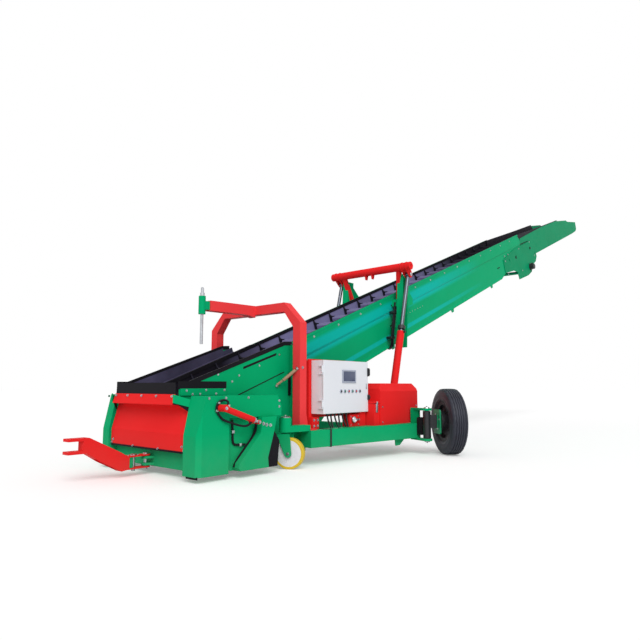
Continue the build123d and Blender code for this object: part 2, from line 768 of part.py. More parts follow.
with BuildPart() as cabinet_frame:
    with BuildSketch(plan_plane(BEAM_TOP)):
        with Locations((CABINET_START - 30, -(CABINET_BACK - 5))):
            Rectangle(40, 50)
    extrude(amount=CABINET_TOP - BEAM_TOP)
    with BuildSketch(side_plane(-CABINET_BACK + 10)):
        Polygon(
            (CABINET_START - 40, 470),
            (CABINET_END, 470),
            (CABINET_END, CABINET_TOP + 14),
            (CABINET_START - 40, CABINET_TOP + 14),
            align=None,
        )
    extrude(amount=10)
    with BuildSketch(plan_plane(BEAM_TOP)):
        with Locations((CABINET_START - 10, -(CABINET_BACK + 25))):
            Rectangle(100, 110)
    extrude(amount=120)
    with BuildSketch(plan_plane(BEAM_TOP)):
        with Locations((CABINET_END - 70, -(CABINET_BACK + 70))):
            Rectangle(110, 160)
    extrude(amount=CABINET_LOW - BEAM_TOP)
cabinet_frame.part.label = "cabinet_frame"

cable_table = [(1600, 40), (1660, 10), (1720, 45), (1790, 5), (1850, 40), (1920, 12)]
with BuildPart() as cabinet_cables:
    for cable_s, sag in cable_table:
        start = (station(cable_s), -800, CABINET_LOW)
        knee = (station(cable_s), -800, CABINET_LOW - 60)
        end = (station(cable_s + sag), -820, BEAM_TOP + 6)
        with BuildLine() as route:
            Polyline(start, knee, end)
            fillet(route.vertices().sort_by(Axis.Z)[1], radius=30)
        with BuildSketch(Plane(origin=start, z_dir=(0, 0, -1))):
            Circle(CABLE_RADIUS)
        sweep(path=route.line)
cabinet_cables.part.label = "cabinet_cables"

# Power pack under its red cover, and the small red tool box beside it
with BuildPart() as pack_cover:
    with BuildSketch(front_plane(PACK_START)):
        Polygon(
            (-PACK_OUTER, BEAM_TOP),
            (-PACK_OUTER, PACK_TOP - PACK_CHAMFER),
            (-PACK_OUTER + PACK_CHAMFER / 2, PACK_TOP),
            (-PACK_INNER, PACK_TOP),
            (-PACK_INNER, BEAM_TOP),
            align=None,
        )
    extrude(amount=PACK_END - PACK_START)
    top_ends = pack_cover.edges().filter_by(Axis.Y).group_by(Axis.Z)[-1]
    chamfer(top_ends, length=60)
pack_cover.part.label = "pack_cover"

with BuildPart() as tool_box:
    with BuildSketch(plan_plane(BEAM_TOP)):
        with Locations(((CABINET_END + PACK_START) / 2 + 2, -860)):
            Rectangle(PACK_START - CABINET_END - 8, 150)
    extrude(amount=270)
tool_box.part.label = "tool_box"

# Small hydraulic adjusters on the side covers
adjust_y = COVER_OUTER + COVER_PROUD + 25.0
adjust_high = (150.0, 612.0)
adjust_low = (484.0, 499.0)
adjust_end = (545.0, 478.0)
with BuildPart() as adjusters:
    for first, last, radius in ((adjust_high, adjust_low, 26.0), (adjust_low, adjust_end, 11.0)):
        run = (last[0] - first[0], 0, last[1] - first[1])
        with BuildSketch(Plane(origin=(station(first[0]), -adjust_y, first[1]), z_dir=run)):
            Circle(radius)
        extrude(amount=hypot(run[0], run[2]))
    with BuildSketch(side_plane(-COVER_OUTER)):
        with Locations(adjust_high):
            Circle(30)
    extrude(amount=adjust_y - COVER_OUTER + 28)
    with BuildSketch(side_plane(-COVER_OUTER + COVER_RECESS)):
        with Locations(adjust_end):
            Circle(18)
    extrude(amount=adjust_y - COVER_OUTER + COVER_RECESS + 14)
    mirror(about=Plane.XZ)
adjusters.part.label = "adjusters"

# Spring struts from the gantry posts to the hopper sides
with BuildPart() as struts:
    strut_top = (station(GANTRY_STATION + 20), -702, 986)
    strut_low = (station(1130), -HOPPER_Y + 10, 790)
    strut_run = tuple(b - a for a, b in zip(strut_top, strut_low))
    with BuildSketch(Plane(origin=strut_top, z_dir=strut_run)):
        Circle(12)
    extrude(amount=sum(c * c for c in strut_run) ** 0.5)
    # the ends meet the post's front face and the hopper plate
    with BuildSketch(front_plane(GANTRY_STATION)):
        with Locations((-GANTRY_HALF, 986)):
            Rectangle(400, 400)
    extrude(amount=GANTRY_TUBE, mode=Mode.SUBTRACT)
    with BuildSketch(side_plane(-HOPPER_Y - HOPPER_THICK)):
        with Locations((1130, 790)):
            Rectangle(400, 400)
    extrude(amount=-GANTRY_TUBE, mode=Mode.SUBTRACT)
    mirror(about=Plane.XZ)
struts.part.label = "struts"

# Pivot pin of the drawbar, held in the hitch lugs
with BuildPart() as hitch_pins:
    with BuildSketch(plan_plane(DRAW_LOW - 14)):
        with Locations((DRAW_PIN_STATION, 0)):
            Circle(DRAW_PIN_RADIUS - RUN_GAP)
    extrude(amount=DRAW_REAR_TOP + 1 - DRAW_LOW + 14)
    with BuildSketch(plan_plane(DRAW_REAR_TOP + 1)):
        with Locations((DRAW_PIN_STATION, 0)):
            Circle(PIN_HEAD)
    extrude(amount=12)
hitch_pins.part.label = "hitch_pins"

# Drawbar: gooseneck with two fork plates round the hitch lugs, clevis at its free end
with BuildPart() as drawbar:
    with BuildSketch(side_plane(DRAW_WIDTH / 2)):
        Polygon(
            (DRAW_FRONT, 238),
            (DRAW_FRONT, 367),
            (-590, 367),
            (-300, 222),
            (FORK_END, DRAW_REAR_TOP),
            (FORK_END + 20, DRAW_REAR_TOP),
            (FORK_END + 20, DRAW_LOW),
            (FORK_END, DRAW_LOW),
            (-285, 56),
            (-474, 153),
            (-610, 238),
            align=None,
        )
    extrude(amount=DRAW_WIDTH)
    for low in (DRAW_LOW, DRAW_REAR_TOP - FORK_PLATE):
        with BuildSketch(plan_plane(low)):
            with Locations((DRAW_PIN_STATION, 0)):
                Circle(HITCH_RADIUS)
            with Locations((FORK_END + 10, 0)):
                Rectangle(20, DRAW_WIDTH)
            make_hull()
        extrude(amount=FORK_PLATE)
    with BuildSketch(plan_plane(DRAW_LOW)):
        with Locations((DRAW_PIN_STATION, 0), (LOCK_PIN_STATION, 0)):
            Circle(DRAW_PIN_RADIUS)
    extrude(amount=DRAW_REAR_TOP - DRAW_LOW, mode=Mode.SUBTRACT)
    # clevis slot and bore at the free end
    with BuildSketch(side_plane(DRAW_WIDTH / 2)):
        Polygon((DRAW_FRONT, 262), (DRAW_FRONT, 343), (-640, 343), (-640, 262), align=None)
    extrude(amount=DRAW_WIDTH, mode=Mode.SUBTRACT)
    with BuildSketch(plan_plane(200)):
        with Locations((DRAW_FRONT + DRAW_EYE_RADIUS + 4, 0)):
            Circle(HITCH_EYE_RADIUS)
    extrude(amount=200, mode=Mode.SUBTRACT)
    # the channel's open side faces down between the bends
    with BuildSketch(plan_plane(DRAW_LOW - 20)):
        with Locations((-430, 0)):
            Rectangle(240, DRAW_WIDTH - 16)
    extrude(amount=140, mode=Mode.SUBTRACT)
drawbar.part.label = "drawbar"

# Green spacer between the fork plates and the lock pin behind it
with BuildPart() as hitch_block:
    with BuildSketch(plan_plane(DRAW_LOW + FORK_PLATE)):
        with Locations(((FORK_END + 20 + LOCK_PIN_STATION - 28) / 2, 0)):
            Rectangle(LOCK_PIN_STATION - 28 - FORK_END - 20, DRAW_WIDTH - 16)
    extrude(amount=DRAW_REAR_TOP - DRAW_LOW - 2 * FORK_PLATE)
hitch_block.part.label = "hitch_block"

with BuildPart() as lock_pin:
    with BuildSketch(plan_plane(DRAW_LOW - 20)):
        with Locations((LOCK_PIN_STATION, 0)):
            Circle(DRAW_PIN_RADIUS - RUN_GAP)
    extrude(amount=DRAW_REAR_TOP - DRAW_LOW + 20)
    with BuildSketch(plan_plane(DRAW_REAR_TOP)):
        with Locations((LOCK_PIN_STATION, 0)):
            Circle(PIN_HEAD)
    extrude(amount=10)
lock_pin.part.label = "lock_pin"

# Boom side plates: folded sheet with a stepped crease and an out-turned lower lip
step_in = BOOM_HALF - PLATE_STEP
with BuildPart() as boom_sides:
    with BuildSketch(boom_section(PLATE_START)):
        Polygon(
            (-BOOM_HALF, PLATE_TOP),
            (-BOOM_HALF, CREASE_TOP),
            (-step_in, CREASE_LOW),
            (-step_in, PLATE_BOTTOM + LIP_HEIGHT),
            (-BOOM_HALF, PLATE_BOTTOM),
            (-BOOM_HALF + PLATE_THICK, PLATE_BOTTOM),
            (-step_in + PLATE_THICK, PLATE_BOTTOM + LIP_HEIGHT),
            (-step_in + PLATE_THICK, CREASE_LOW),
            (-BOOM_HALF + PLATE_THICK, CREASE_TOP),
            (-BOOM_HALF + PLATE_THICK, PLATE_TOP),
            align=None,
        )
    extrude(amount=PLATE_END - PLATE_START)
    with BuildSketch(boom_plane(-BOOM_HALF + 60)):
        Polygon(
            (PLATE_START, PLATE_TOP),
            (PLATE_START, -120),
            (-60, -250),
            (600, PLATE_BOTTOM),
            (PLATE_LOW_END, PLATE_BOTTOM),
            (PLATE_LOW_END + 560, -230),
            (PLATE_END, -60),
            (PLATE_END, PLATE_TOP - 90),
            (PLATE_END - 90, PLATE_TOP),
            align=None,
        )
    extrude(amount=90, mode=Mode.INTERSECT)
    with BuildSketch(boom_plane(-step_in + PLATE_THICK)):
        Circle(SHAFT_RADIUS)
    extrude(amount=PLATE_THICK, mode=Mode.SUBTRACT)
    mirror(about=Plane.XZ)
boom_sides.part.label = "boom_sides"

# Nose plates bolted inside the main plates, tapering to the tip
nose_line = [
    (PLATE_END - 60, 60.0),
    (PLATE_END + 90, 222.0),
    (PLATE_END + 1400, 242.0),
    (PLATE_END + 2550, 216.0),
    (NOSE_TIP - 780, 112.0),
    (NOSE_TIP - 660, 60.0),
]
with BuildPart() as nose_sides:
    with BuildSketch(boom_plane(-LOW_INNER + NOSE_THICK)):
        Polygon(
            (NOSE_START, 60),
            *nose_line,
            (NOSE_TIP, -50),
            (NOSE_TIP, NOSE_BOTTOM + 50),
            (NOSE_TIP - 90, NOSE_BOTTOM + 12),
            (NOSE_TIP - 400, NOSE_BOTTOM),
            (PLATE_END + 860, NOSE_BOTTOM + 36),
            (NOSE_START, -220),
            align=None,
        )
    extrude(amount=NOSE_THICK)
    mirror(about=Plane.XZ)
nose_sides.part.label = "nose_sides"

# Cross tubes between the belt runs and flat braces under the boom
with BuildPart() as boom_cross:
    for index in range(CROSS_COUNT):
        u = CROSS_FIRST + index * CROSS_PITCH
        with BuildSketch(boom_plane(LOW_INNER)):
            with Locations((u, 0)):
                Rectangle(CROSS_TUBE, CROSS_TUBE)
        extrude(amount=2 * LOW_INNER)
    for index in range(CROSS_COUNT):
        u = CROSS_FIRST + 300 + index * CROSS_PITCH
        with BuildSketch(boom_plane(LOW_INNER)):
            with Locations((u, PLATE_BOTTOM + LIP_HEIGHT + BRACE_HEIGHT / 2)):
                Rectangle(80, BRACE_HEIGHT)
        extrude(amount=2 * LOW_INNER)
    for share in NOSE_TUBE_SHARES:
        u = PLATE_END + (HEAD_U - PLATE_END) * share
        with BuildSketch(boom_plane(LOW_INNER - NOSE_THICK)):
            with Locations((u, -60)):
                Rectangle(CROSS_TUBE, 50)
        extrude(amount=2 * (LOW_INNER - NOSE_THICK))
boom_cross.part.label = "boom_cross"

# Belt loop with moulded flights: over the tail drum, a bend roller and the head drum
bend_u = PLATE_END
carry_drop = atan2(HEAD_W + HEAD_RADIUS - DRUM_RADIUS, HEAD_U - bend_u)
back_drop = atan2(HEAD_W - HEAD_RADIUS + DRUM_RADIUS, HEAD_U - bend_u)


def belt_profile(extra):
    """Closed outline of the loop, grown outward by extra."""
    r_tail = DRUM_RADIUS + extra
    r_head = HEAD_RADIUS + extra
    top_head = (HEAD_U, HEAD_W + r_head)
    low_head = (HEAD_U, HEAD_W - r_head)
    Polyline(top_head, (bend_u, r_tail), (0, r_tail))
    ThreePointArc((0, r_tail), (-r_tail, 0), (0, -r_tail))
    Polyline((0, -r_tail), (bend_u, -r_tail), low_head)
    ThreePointArc(low_head, (HEAD_U + r_head, HEAD_W), top_head)


flight_spots = []
for index in range(int((bend_u - 200) // FLIGHT_PITCH) + 1):
    u = 100 + index * FLIGHT_PITCH
    flight_spots.append((u, BELT_OUT, 0.0))
    flight_spots.append((u + FLIGHT_PITCH / 2, -BELT_OUT, 180.0))
nose_run = HEAD_U - bend_u
for index in range(1, int((nose_run - 300) // FLIGHT_PITCH) + 1):
    u = bend_u + index * FLIGHT_PITCH - 60
    share = (u - bend_u) / nose_run
    top_w = BELT_OUT + share * (HEAD_W + HEAD_RADIUS - DRUM_RADIUS)
    low_w = -BELT_OUT + share * (HEAD_W - HEAD_RADIUS + DRUM_RADIUS)
    flight_spots.append((u, top_w, degrees(carry_drop)))
    flight_spots.append((u, low_w, 180.0 + degrees(back_drop)))

with BuildPart() as belt:
    with BuildSketch(boom_plane(BELT_HALF)):
        with BuildLine():
            belt_profile(BELT_THICK)
        make_face()
        with BuildLine():
            belt_profile(0.0)
        make_face(mode=Mode.SUBTRACT)
    extrude(amount=2 * BELT_HALF)
    with BuildSketch(boom_plane(FLIGHT_HALF)):
        for u, w, turn in flight_spots:
            with Locations(Location((u, w, 0), turn)):
                Polygon(
                    (0, -2),
                    (0, FLIGHT_HEIGHT - 30),
                    (22, FLIGHT_HEIGHT),
                    (22 + FLIGHT_THICK, FLIGHT_HEIGHT - 4),
                    (FLIGHT_THICK, FLIGHT_HEIGHT - 34),
                    (FLIGHT_THICK, 16),
                    (FLIGHT_FOOT, 5),
                    (FLIGHT_FOOT, -2),
                    align=None,
                )
    extrude(amount=2 * FLIGHT_HALF)
belt.part.label = "belt"

# Drums, bend roller and idlers inside the belt
with BuildPart() as rollers:
    with BuildSketch(boom_plane(BELT_HALF)):
        Circle(DRUM_RADIUS - RUN_GAP)
    extrude(amount=2 * BELT_HALF)
    with BuildSketch(boom_plane(BEARING_OUTER)):
        Circle(SHAFT_RADIUS)
    extrude(amount=2 * BEARING_OUTER)
    with BuildSketch(boom_plane(BELT_HALF)):
        with Locations((HEAD_U, HEAD_W)):
            Circle(HEAD_RADIUS - RUN_GAP)
    extrude(amount=2 * BELT_HALF)
    with BuildSketch(boom_plane(LOW_INNER - NOSE_THICK)):
        with Locations((HEAD_U, HEAD_W)):
            Circle(SHAFT_RADIUS)
    extrude(amount=2 * (LOW_INNER - NOSE_THICK))
    idler_w = DRUM_RADIUS - IDLER_RADIUS - RUN_GAP
    idler_spots = [(u * IDLER_PITCH, idler_w) for u in range(1, 8)]
    idler_spots.append((bend_u - 2, idler_w))
    for spot in idler_spots:
        reach = LOW_INNER - NOSE_THICK if spot[0] > NOSE_START else LOW_INNER
        with BuildSketch(boom_plane(BELT_HALF)):
            with Locations(spot):
                Circle(IDLER_RADIUS)
        extrude(amount=2 * BELT_HALF)
        with BuildSketch(boom_plane(reach)):
            with Locations((spot[0], CREASE_LOW - IDLER_SHAFT - 2)):
                Circle(IDLER_SHAFT)
        extrude(amount=2 * reach)
rollers.part.label = "rollers"

# Side liners beside the flights, on the inner faces of the plates
with BuildPart() as side_liners:
    liner_low = BELT_OUT + LINER_FLOOR_GAP
    with BuildSketch(boom_plane(-PLATE_INNER + LINER_THICK)):
        Polygon(
            (0, liner_low),
            (0, PLATE_TOP + LINER_TOP),
            (PLATE_END - 60, PLATE_TOP + LINER_TOP),
            (PLATE_END - 60, liner_low),
            align=None,
        )
    extrude(amount=LINER_THICK)
    # rubber skirt along the nose, standing a little above its plates
    with BuildSketch(boom_plane(-LOW_INNER + NOSE_THICK + LINER_THICK)):
        Polygon(
            (PLATE_END - 120, liner_low),
            (PLATE_END - 120, PLATE_TOP + LINER_TOP),
            (PLATE_END + 1360, 264),
            (PLATE_END + 2680, 222),
            (PLATE_END + 2760, 120),
            (PLATE_END + 2760, liner_low - 110),
            align=None,
        )
    extrude(amount=LINER_THICK)
    mirror(about=Plane.XZ)
side_liners.part.label = "side_liners"

# Lobed head brackets outside the plates, and the motors hung on them
bracket_y = BOOM_HALF - PLATE_STEP
with BuildPart() as head_brackets:
    with BuildSketch(boom_plane(-bracket_y)):
        Polygon(
            (PLATE_END - 1000, -280),
            (PLATE_END - 1000, -20),
            (PLATE_END - 450, 74),
            (PLATE_END + 600, 84),
            (PLATE_END + 830, -190),
            (PLATE_END + 850, -310),
            (PLATE_END + 740, -400),
            (PLATE_END + 560, -430),
            (PLATE_END + 390, -560),
            (PLATE_END + 170, -588),
            (PLATE_END - 350, -556),
            (PLATE_END - 380, -400),
            (PLATE_END - 540, -330),
            align=None,
        )
        with Locations((PLATE_END + 510, -66), (PLATE_END - 720, -80)):
            Circle(26, mode=Mode.SUBTRACT)
        with Locations((PLATE_END - 340, -88)):
            Rectangle(70, 46, mode=Mode.SUBTRACT)
        with Locations(Location((PLATE_END + 760, -250, 0), 60)):
            SlotOverall(110, 34, mode=Mode.SUBTRACT)
    extrude(amount=10)
    with BuildSketch(boom_plane(-bracket_y)):
        with Locations((PLATE_END + 60, -490)):
            Circle(32)
    extrude(amount=-bracket_y)
    mirror(about=Plane.XZ)
head_brackets.part.label = "head_brackets"

with BuildPart() as head_motors:
    with BuildSketch(boom_plane(-bracket_y - 10)):
        with Locations((PLATE_END + 350, -440)):
            Circle(56)
    extrude(amount=90)
    mirror(about=Plane.XZ)
head_motors.part.label = "head_motors"

# Lift frame: U channels on the boom plates, legs inside them and the round crossbar
bar_z = LIFT_BAR_TOP - LIFT_BAR_RADIUS
upright_top = bar_z - LIFT_BAR_RADIUS - 30
plate_low_z = 1320.0
upright_lean = 60.0
upright_mid = LIFT_BAR_STATION + UPRIGHT_BACK
channel_in = BOOM_HALF + UPRIGHT_STAND
with BuildPart() as uprights:
    channel_front = upright_mid - upright_lean - UPRIGHT_DEPTH / 2
    channel_back = upright_mid - upright_lean + UPRIGHT_DEPTH / 2
    channel_out = channel_in + UPRIGHT_WIDTH
    channel_web = channel_in + UPRIGHT_THICK
    with BuildSketch(plan_plane(plate_low_z)):
        Polygon(
            (channel_front, -channel_out),
            (channel_front, -channel_in),
            (channel_back, -channel_in),
            (channel_back, -channel_out),
            (channel_back - UPRIGHT_THICK, -channel_out),
            (channel_back - UPRIGHT_THICK, -channel_web),
            (channel_front + UPRIGHT_THICK, -channel_web),
            (channel_front + UPRIGHT_THICK, -channel_out),
            align=None,
        )
    extrude(amount=upright_top - plate_low_z, dir=(upright_lean, 0, upright_top - plate_low_z))
    with BuildSketch(side_plane(-channel_in)):
        Polygon(
            (upright_mid + UPRIGHT_DEPTH / 2 - 20, upright_top - 60),
            (upright_mid + UPRIGHT_DEPTH / 2 + 250, 2040),
            (upright_mid + UPRIGHT_DEPTH / 2 + 250, 1960),
            (upright_mid + UPRIGHT_DEPTH / 2 - 50, 1840),
            align=None,
        )
    extrude(amount=UPRIGHT_THICK)
    # stand-off brackets to the boom plates: low edge, high edge, seat on the plate
    for low, high, seat_y in ((1890, 1990, BOOM_HALF), (1500, 1600, BOOM_HALF - PLATE_STEP)):
        with BuildSketch(side_plane(-seat_y)):
            Polygon(
                (channel_front + 40, low),
                (channel_back + 10, low),
                (channel_back + 10, high),
                (channel_front + 70, high),
                align=None,
            )
        extrude(amount=channel_in - seat_y)
    mirror(about=Plane.XZ)
uprights.part.label = "uprights"

with BuildPart() as lift_crossbar:
    with BuildSketch(side_plane(LIFT_BAR_HALF)):
        with Locations((LIFT_BAR_STATION, bar_z)):
            Circle(LIFT_BAR_RADIUS)
    extrude(amount=2 * LIFT_BAR_HALF)
    # legs lean back against the inner faces of the channels
    with BuildSketch(plan_plane(LEG_LOW)):
        with Locations((upright_mid, -channel_in + LEG_SIZE / 2 + 0.5)):
            Rectangle(LEG_SIZE, LEG_SIZE)
    leg = extrude(amount=bar_z - LEG_LOW, dir=(-UPRIGHT_BACK, 0, bar_z - LEG_LOW))
    mirror(leg, about=Plane.XZ)
    for hand in (-1, 1):
        lug_y = CYL_Y + hand * (EYE_HALF + MOVE_GAP + LUG_THICK / 2)
        with BuildSketch(side_plane(-lug_y + LUG_THICK / 2)):
            with Locations((LIFT_BAR_STATION, bar_z)):
                Circle(LIFT_BAR_RADIUS + 6)
            with Locations((ROD_EYE_STATION, ROD_EYE_HEIGHT)):
                Circle(EYE_RADIUS)
            make_hull()
        ear = extrude(amount=LUG_THICK)
        mirror(ear, about=Plane.XZ)
    for lug_y in (-70, 40):
        with BuildSketch(side_plane(lug_y + 30)):
            Polygon(
                (LIFT_BAR_STATION - 45, bar_z - 30),
                (LIFT_BAR_STATION - 20, bar_z - 110),
                (LIFT_BAR_STATION + 20, bar_z - 110),
                (LIFT_BAR_STATION + 45, bar_z - 30),
                align=None,
            )
        extrude(amount=12)
lift_crossbar.part.label = "lift_crossbar"

# Lift cylinders, one body pair per side
lift_run = (ROD_EYE_STATION - CYL_BASE_STATION, ROD_EYE_HEIGHT - CYL_BASE_HEIGHT)
lift_length = hypot(*lift_run)
lift_dir = (lift_run[0] / lift_length, 0, lift_run[1] / lift_length)


def lift_plane(y, along):
    """Plane square to a lift cylinder, at a distance from its foot pin."""
    origin = (
        station(CYL_BASE_STATION) + along * lift_dir[0],
        y,
        CYL_BASE_HEIGHT + along * lift_dir[2],
    )
    return Plane(origin=origin, x_dir=(0, 1, 0), z_dir=lift_dir)


lift_parts = {}
for side_name, side in (("near", -1), ("far", 1)):
    with BuildPart() as barrel:
        with BuildSketch(side_plane(side * CYL_Y + EYE_HALF)):
            with Locations((CYL_BASE_STATION, CYL_BASE_HEIGHT)):
                Circle(EYE_RADIUS)
        extrude(amount=2 * EYE_HALF)
        with BuildSketch(lift_plane(side * CYL_Y, EYE_RADIUS - 10)):
            Circle(EYE_HALF)
        extrude(amount=40)
        with BuildSketch(lift_plane(side * CYL_Y, EYE_RADIUS + 25)):
            Circle(BARREL_RADIUS)
        extrude(amount=BARREL_LENGTH - EYE_RADIUS - 25)
        with BuildSketch(lift_plane(side * CYL_Y, 100)):
            Circle(ROD_RADIUS + RUN_GAP)
        extrude(amount=BARREL_LENGTH, mode=Mode.SUBTRACT)
        # foot pin, held in the lugs of the rear cross member
        with BuildSketch(side_plane(side * CYL_Y + EYE_HALF + MOVE_GAP + LUG_THICK)):
            with Locations((CYL_BASE_STATION, CYL_BASE_HEIGHT)):
                Circle(EYE_BORE - RUN_GAP)
        extrude(amount=2 * (EYE_HALF + MOVE_GAP + LUG_THICK))
    barrel.part.label = "lift_barrel_" + side_name
    lift_parts[barrel.part.label] = barrel.part
    with BuildPart() as rod:
        with BuildSketch(side_plane(side * CYL_Y + EYE_HALF)):
            with Locations((ROD_EYE_STATION, ROD_EYE_HEIGHT)):
                Circle(EYE_RADIUS)
        extrude(amount=2 * EYE_HALF)
        with BuildSketch(lift_plane(side * CYL_Y, lift_length - ROD_INSIDE)):
            Circle(ROD_RADIUS)
        extrude(amount=ROD_INSIDE - EYE_RADIUS + 8)
        with BuildSketch(side_plane(side * CYL_Y + EYE_HALF)):
            with Locations((ROD_EYE_STATION, ROD_EYE_HEIGHT)):
                Circle(EYE_BORE)
        extrude(amount=2 * EYE_HALF, mode=Mode.SUBTRACT)
    rod.part.label = "lift_rod_" + side_name
    lift_parts[rod.part.label] = rod.part

# Rear wheels: knuckle on the kingpin, rim with its hub, tyre
wheel_parts = {}
for side_name, side in (("near", -1), ("far", 1)):
    toe = radians(TOE_ANGLE)
    out_dir = (cos(toe), side * sin(toe), 0)
    king = (station(KINGPIN_STATION), side * KINGPIN_Y)

    def axle_plane(along):
        """Plane square to the axle at a distance from the kingpin, at wheel height."""
        origin = (king[0] + along * out_dir[0], king[1] + along * out_dir[1], TYRE_RADIUS)
        return Plane(origin=origin, x_dir=(0, 0, 1), z_dir=out_dir)

    with BuildPart() as knuckle:
        with BuildSketch(Plane.XY.offset(EAR_LOW + EAR_THICK + MOVE_GAP)):
            with Locations(king):
                Circle(KNUCKLE_RADIUS)
        extrude(amount=EAR_TOP - EAR_LOW - 2 * EAR_THICK - 2 * MOVE_GAP)
        with BuildSketch(Plane.XY.offset(EAR_LOW)):
            with Locations(king):
                Circle(KING_RADIUS)
        extrude(amount=EAR_TOP - EAR_LOW)
        with BuildSketch(axle_plane(0)):
            Rectangle(150, 70)
        extrude(amount=FLANGE_OFFSET)
        with BuildSketch(axle_plane(FLANGE_OFFSET)):
            RectangleRounded(2 * FLANGE_HALF + 70, 2 * FLANGE_HALF, 30)
        extrude(amount=FLANGE_THICK)
        with BuildSketch(axle_plane(FLANGE_OFFSET + FLANGE_THICK)):
            Circle(SHAFT_RADIUS)
        extrude(amount=WHEEL_OFFSET - FLANGE_OFFSET)
    knuckle.part.label = "knuckle_" + side_name
    wheel_parts[knuckle.part.label] = knuckle.part
    wheel_plane = axle_plane(WHEEL_OFFSET)
    half = TYRE_WIDTH / 2
    across = wheel_plane.z_dir.cross(Vector(0, 0, 1))
    profile_plane = Plane(origin=wheel_plane.origin, x_dir=(0, 0, 1), z_dir=across)
    with BuildPart() as rim:
        with BuildSketch(profile_plane):
            Polygon(
                (SHAFT_RADIUS + RUN_GAP, -70),
                (HUB_RADIUS, -70),
                (HUB_RADIUS, -10),
                (150, 20),
                (RIM_RADIUS - 22, 20),
                (RIM_RADIUS - 22, -half * 0.72),
                (RIM_LIP, -half * 0.78),
                (RIM_LIP, -half * 0.70),
                (RIM_RADIUS, -half * 0.62),
                (RIM_RADIUS, half * 0.62),
                (RIM_LIP, half * 0.70),
                (RIM_LIP, half * 0.78),
                (RIM_RADIUS - 22, half * 0.72),
                (RIM_RADIUS - 22, 34),
                (145, 34),
                (HUB_RADIUS, 8),
                (70, 60),
                (SHAFT_RADIUS + RUN_GAP, 60),
                align=None,
            )
        revolve(axis=Axis(wheel_plane.origin, wheel_plane.z_dir))
    rim.part.label = "rim_" + side_name
    wheel_parts[rim.part.label] = rim.part
    with BuildPart() as tyre:
        with BuildSketch(profile_plane):
            with BuildLine():
                Polyline(
                    (RIM_LIP, -half * 0.70),
                    (RIM_RADIUS, -half * 0.62),
                    (RIM_RADIUS, half * 0.62),
                    (RIM_LIP, half * 0.70),
                )
                ThreePointArc(
                    (RIM_LIP, half * 0.70),
                    (RIM_LIP + 70, half),
                    (TYRE_RADIUS - 26, half * 0.86),
                )
                Polyline(
                    (TYRE_RADIUS - 26, half * 0.86),
                    (TYRE_RADIUS - 4, half * 0.72),
                    (TYRE_RADIUS, half * 0.4),
                    (TYRE_RADIUS, -half * 0.4),
                    (TYRE_RADIUS - 4, -half * 0.72),
                    (TYRE_RADIUS - 26, -half * 0.86),
                )
                ThreePointArc(
                    (TYRE_RADIUS - 26, -half * 0.86),
                    (RIM_LIP + 70, -half),
                    (RIM_LIP, -half * 0.70),
                )
            make_face()
        revolve(axis=Axis(wheel_plane.origin, wheel_plane.z_dir))
    tyre.part.label = "tyre_" + side_name
    wheel_parts[tyre.part.label] = tyre.part

# Casters: swivel fork, spoked core and yellow tread
caster_parts = {}
for side_name, side in (("near", -1), ("far", 1)):
    heading = radians(CASTER_HEADING)
    stem = (station(CASTER_STATION), side * CASTER_Y)
    roll_dir = (cos(heading), side * -sin(heading), 0)
    axle_dir = (roll_dir[1], -roll_dir[0], 0)
    hub_x = stem[0] - CASTER_TRAIL * roll_dir[0]
    hub_y = stem[1] - CASTER_TRAIL * roll_dir[1]
    wheel_mid = (hub_x, hub_y, CASTER_RADIUS)
    half = CASTER_WIDTH / 2
    arm_in = half + MOVE_GAP

    def caster_plane(across):
        """Plane square to the caster's axle at a distance from the wheel's middle."""
        origin = (
            wheel_mid[0] + across * axle_dir[0],
            wheel_mid[1] + across * axle_dir[1],
            CASTER_RADIUS,
        )
        return Plane(origin=origin, x_dir=roll_dir, z_dir=axle_dir)

    with BuildPart() as fork:
        for across in (-arm_in - FORK_THICK, arm_in):
            with BuildSketch(caster_plane(across)):
                Circle(26)
                with Locations((CASTER_TRAIL, FORK_TOP - CASTER_RADIUS - 6)):
                    Rectangle(90, 12)
                make_hull()
            extrude(amount=FORK_THICK)
        with BuildSketch(caster_plane(-arm_in - FORK_THICK)):
            with Locations((CASTER_TRAIL, FORK_TOP - CASTER_RADIUS - 6)):
                Rectangle(90, 12)
        extrude(amount=2 * (arm_in + FORK_THICK))
        with BuildSketch(Plane.XY.offset(FORK_TOP - 6)):
            with Locations(stem):
                Circle(STEM_RADIUS)
        extrude(amount=STEM_TOP - 24 - FORK_TOP)
        with BuildSketch(caster_plane(-arm_in - 2)):
            Circle(CASTER_AXLE)
        extrude(amount=2 * arm_in + 4)
    fork.part.label = "caster_fork_" + side_name
    caster_parts[fork.part.label] = fork.part
    tread_in = CASTER_RADIUS - CASTER_TREAD
    with BuildPart() as core:
        with BuildSketch(caster_plane(-half)):
            Circle(tread_in)
            Circle(tread_in - 22, mode=Mode.SUBTRACT)
            Circle(38)
            with PolarLocations(0, 5):
                with Locations((70, 0)):
                    Rectangle(82, 26)
            Circle(CASTER_AXLE + RUN_GAP, mode=Mode.SUBTRACT)
        extrude(amount=CASTER_WIDTH)
    core.part.label = "caster_core_" + side_name
    caster_parts[core.part.label] = core.part
    with BuildPart() as tread:
        with BuildSketch(caster_plane(-half)):
            Circle(CASTER_RADIUS)
            Circle(tread_in, mode=Mode.SUBTRACT)
        extrude(amount=CASTER_WIDTH)
        chamfer(tread.edges().filter_by(GeomType.CIRCLE).sort_by(SortBy.RADIUS)[-2:], length=6)
    tread.part.label = "caster_tread_" + side_name
    caster_parts[tread.part.label] = tread.part

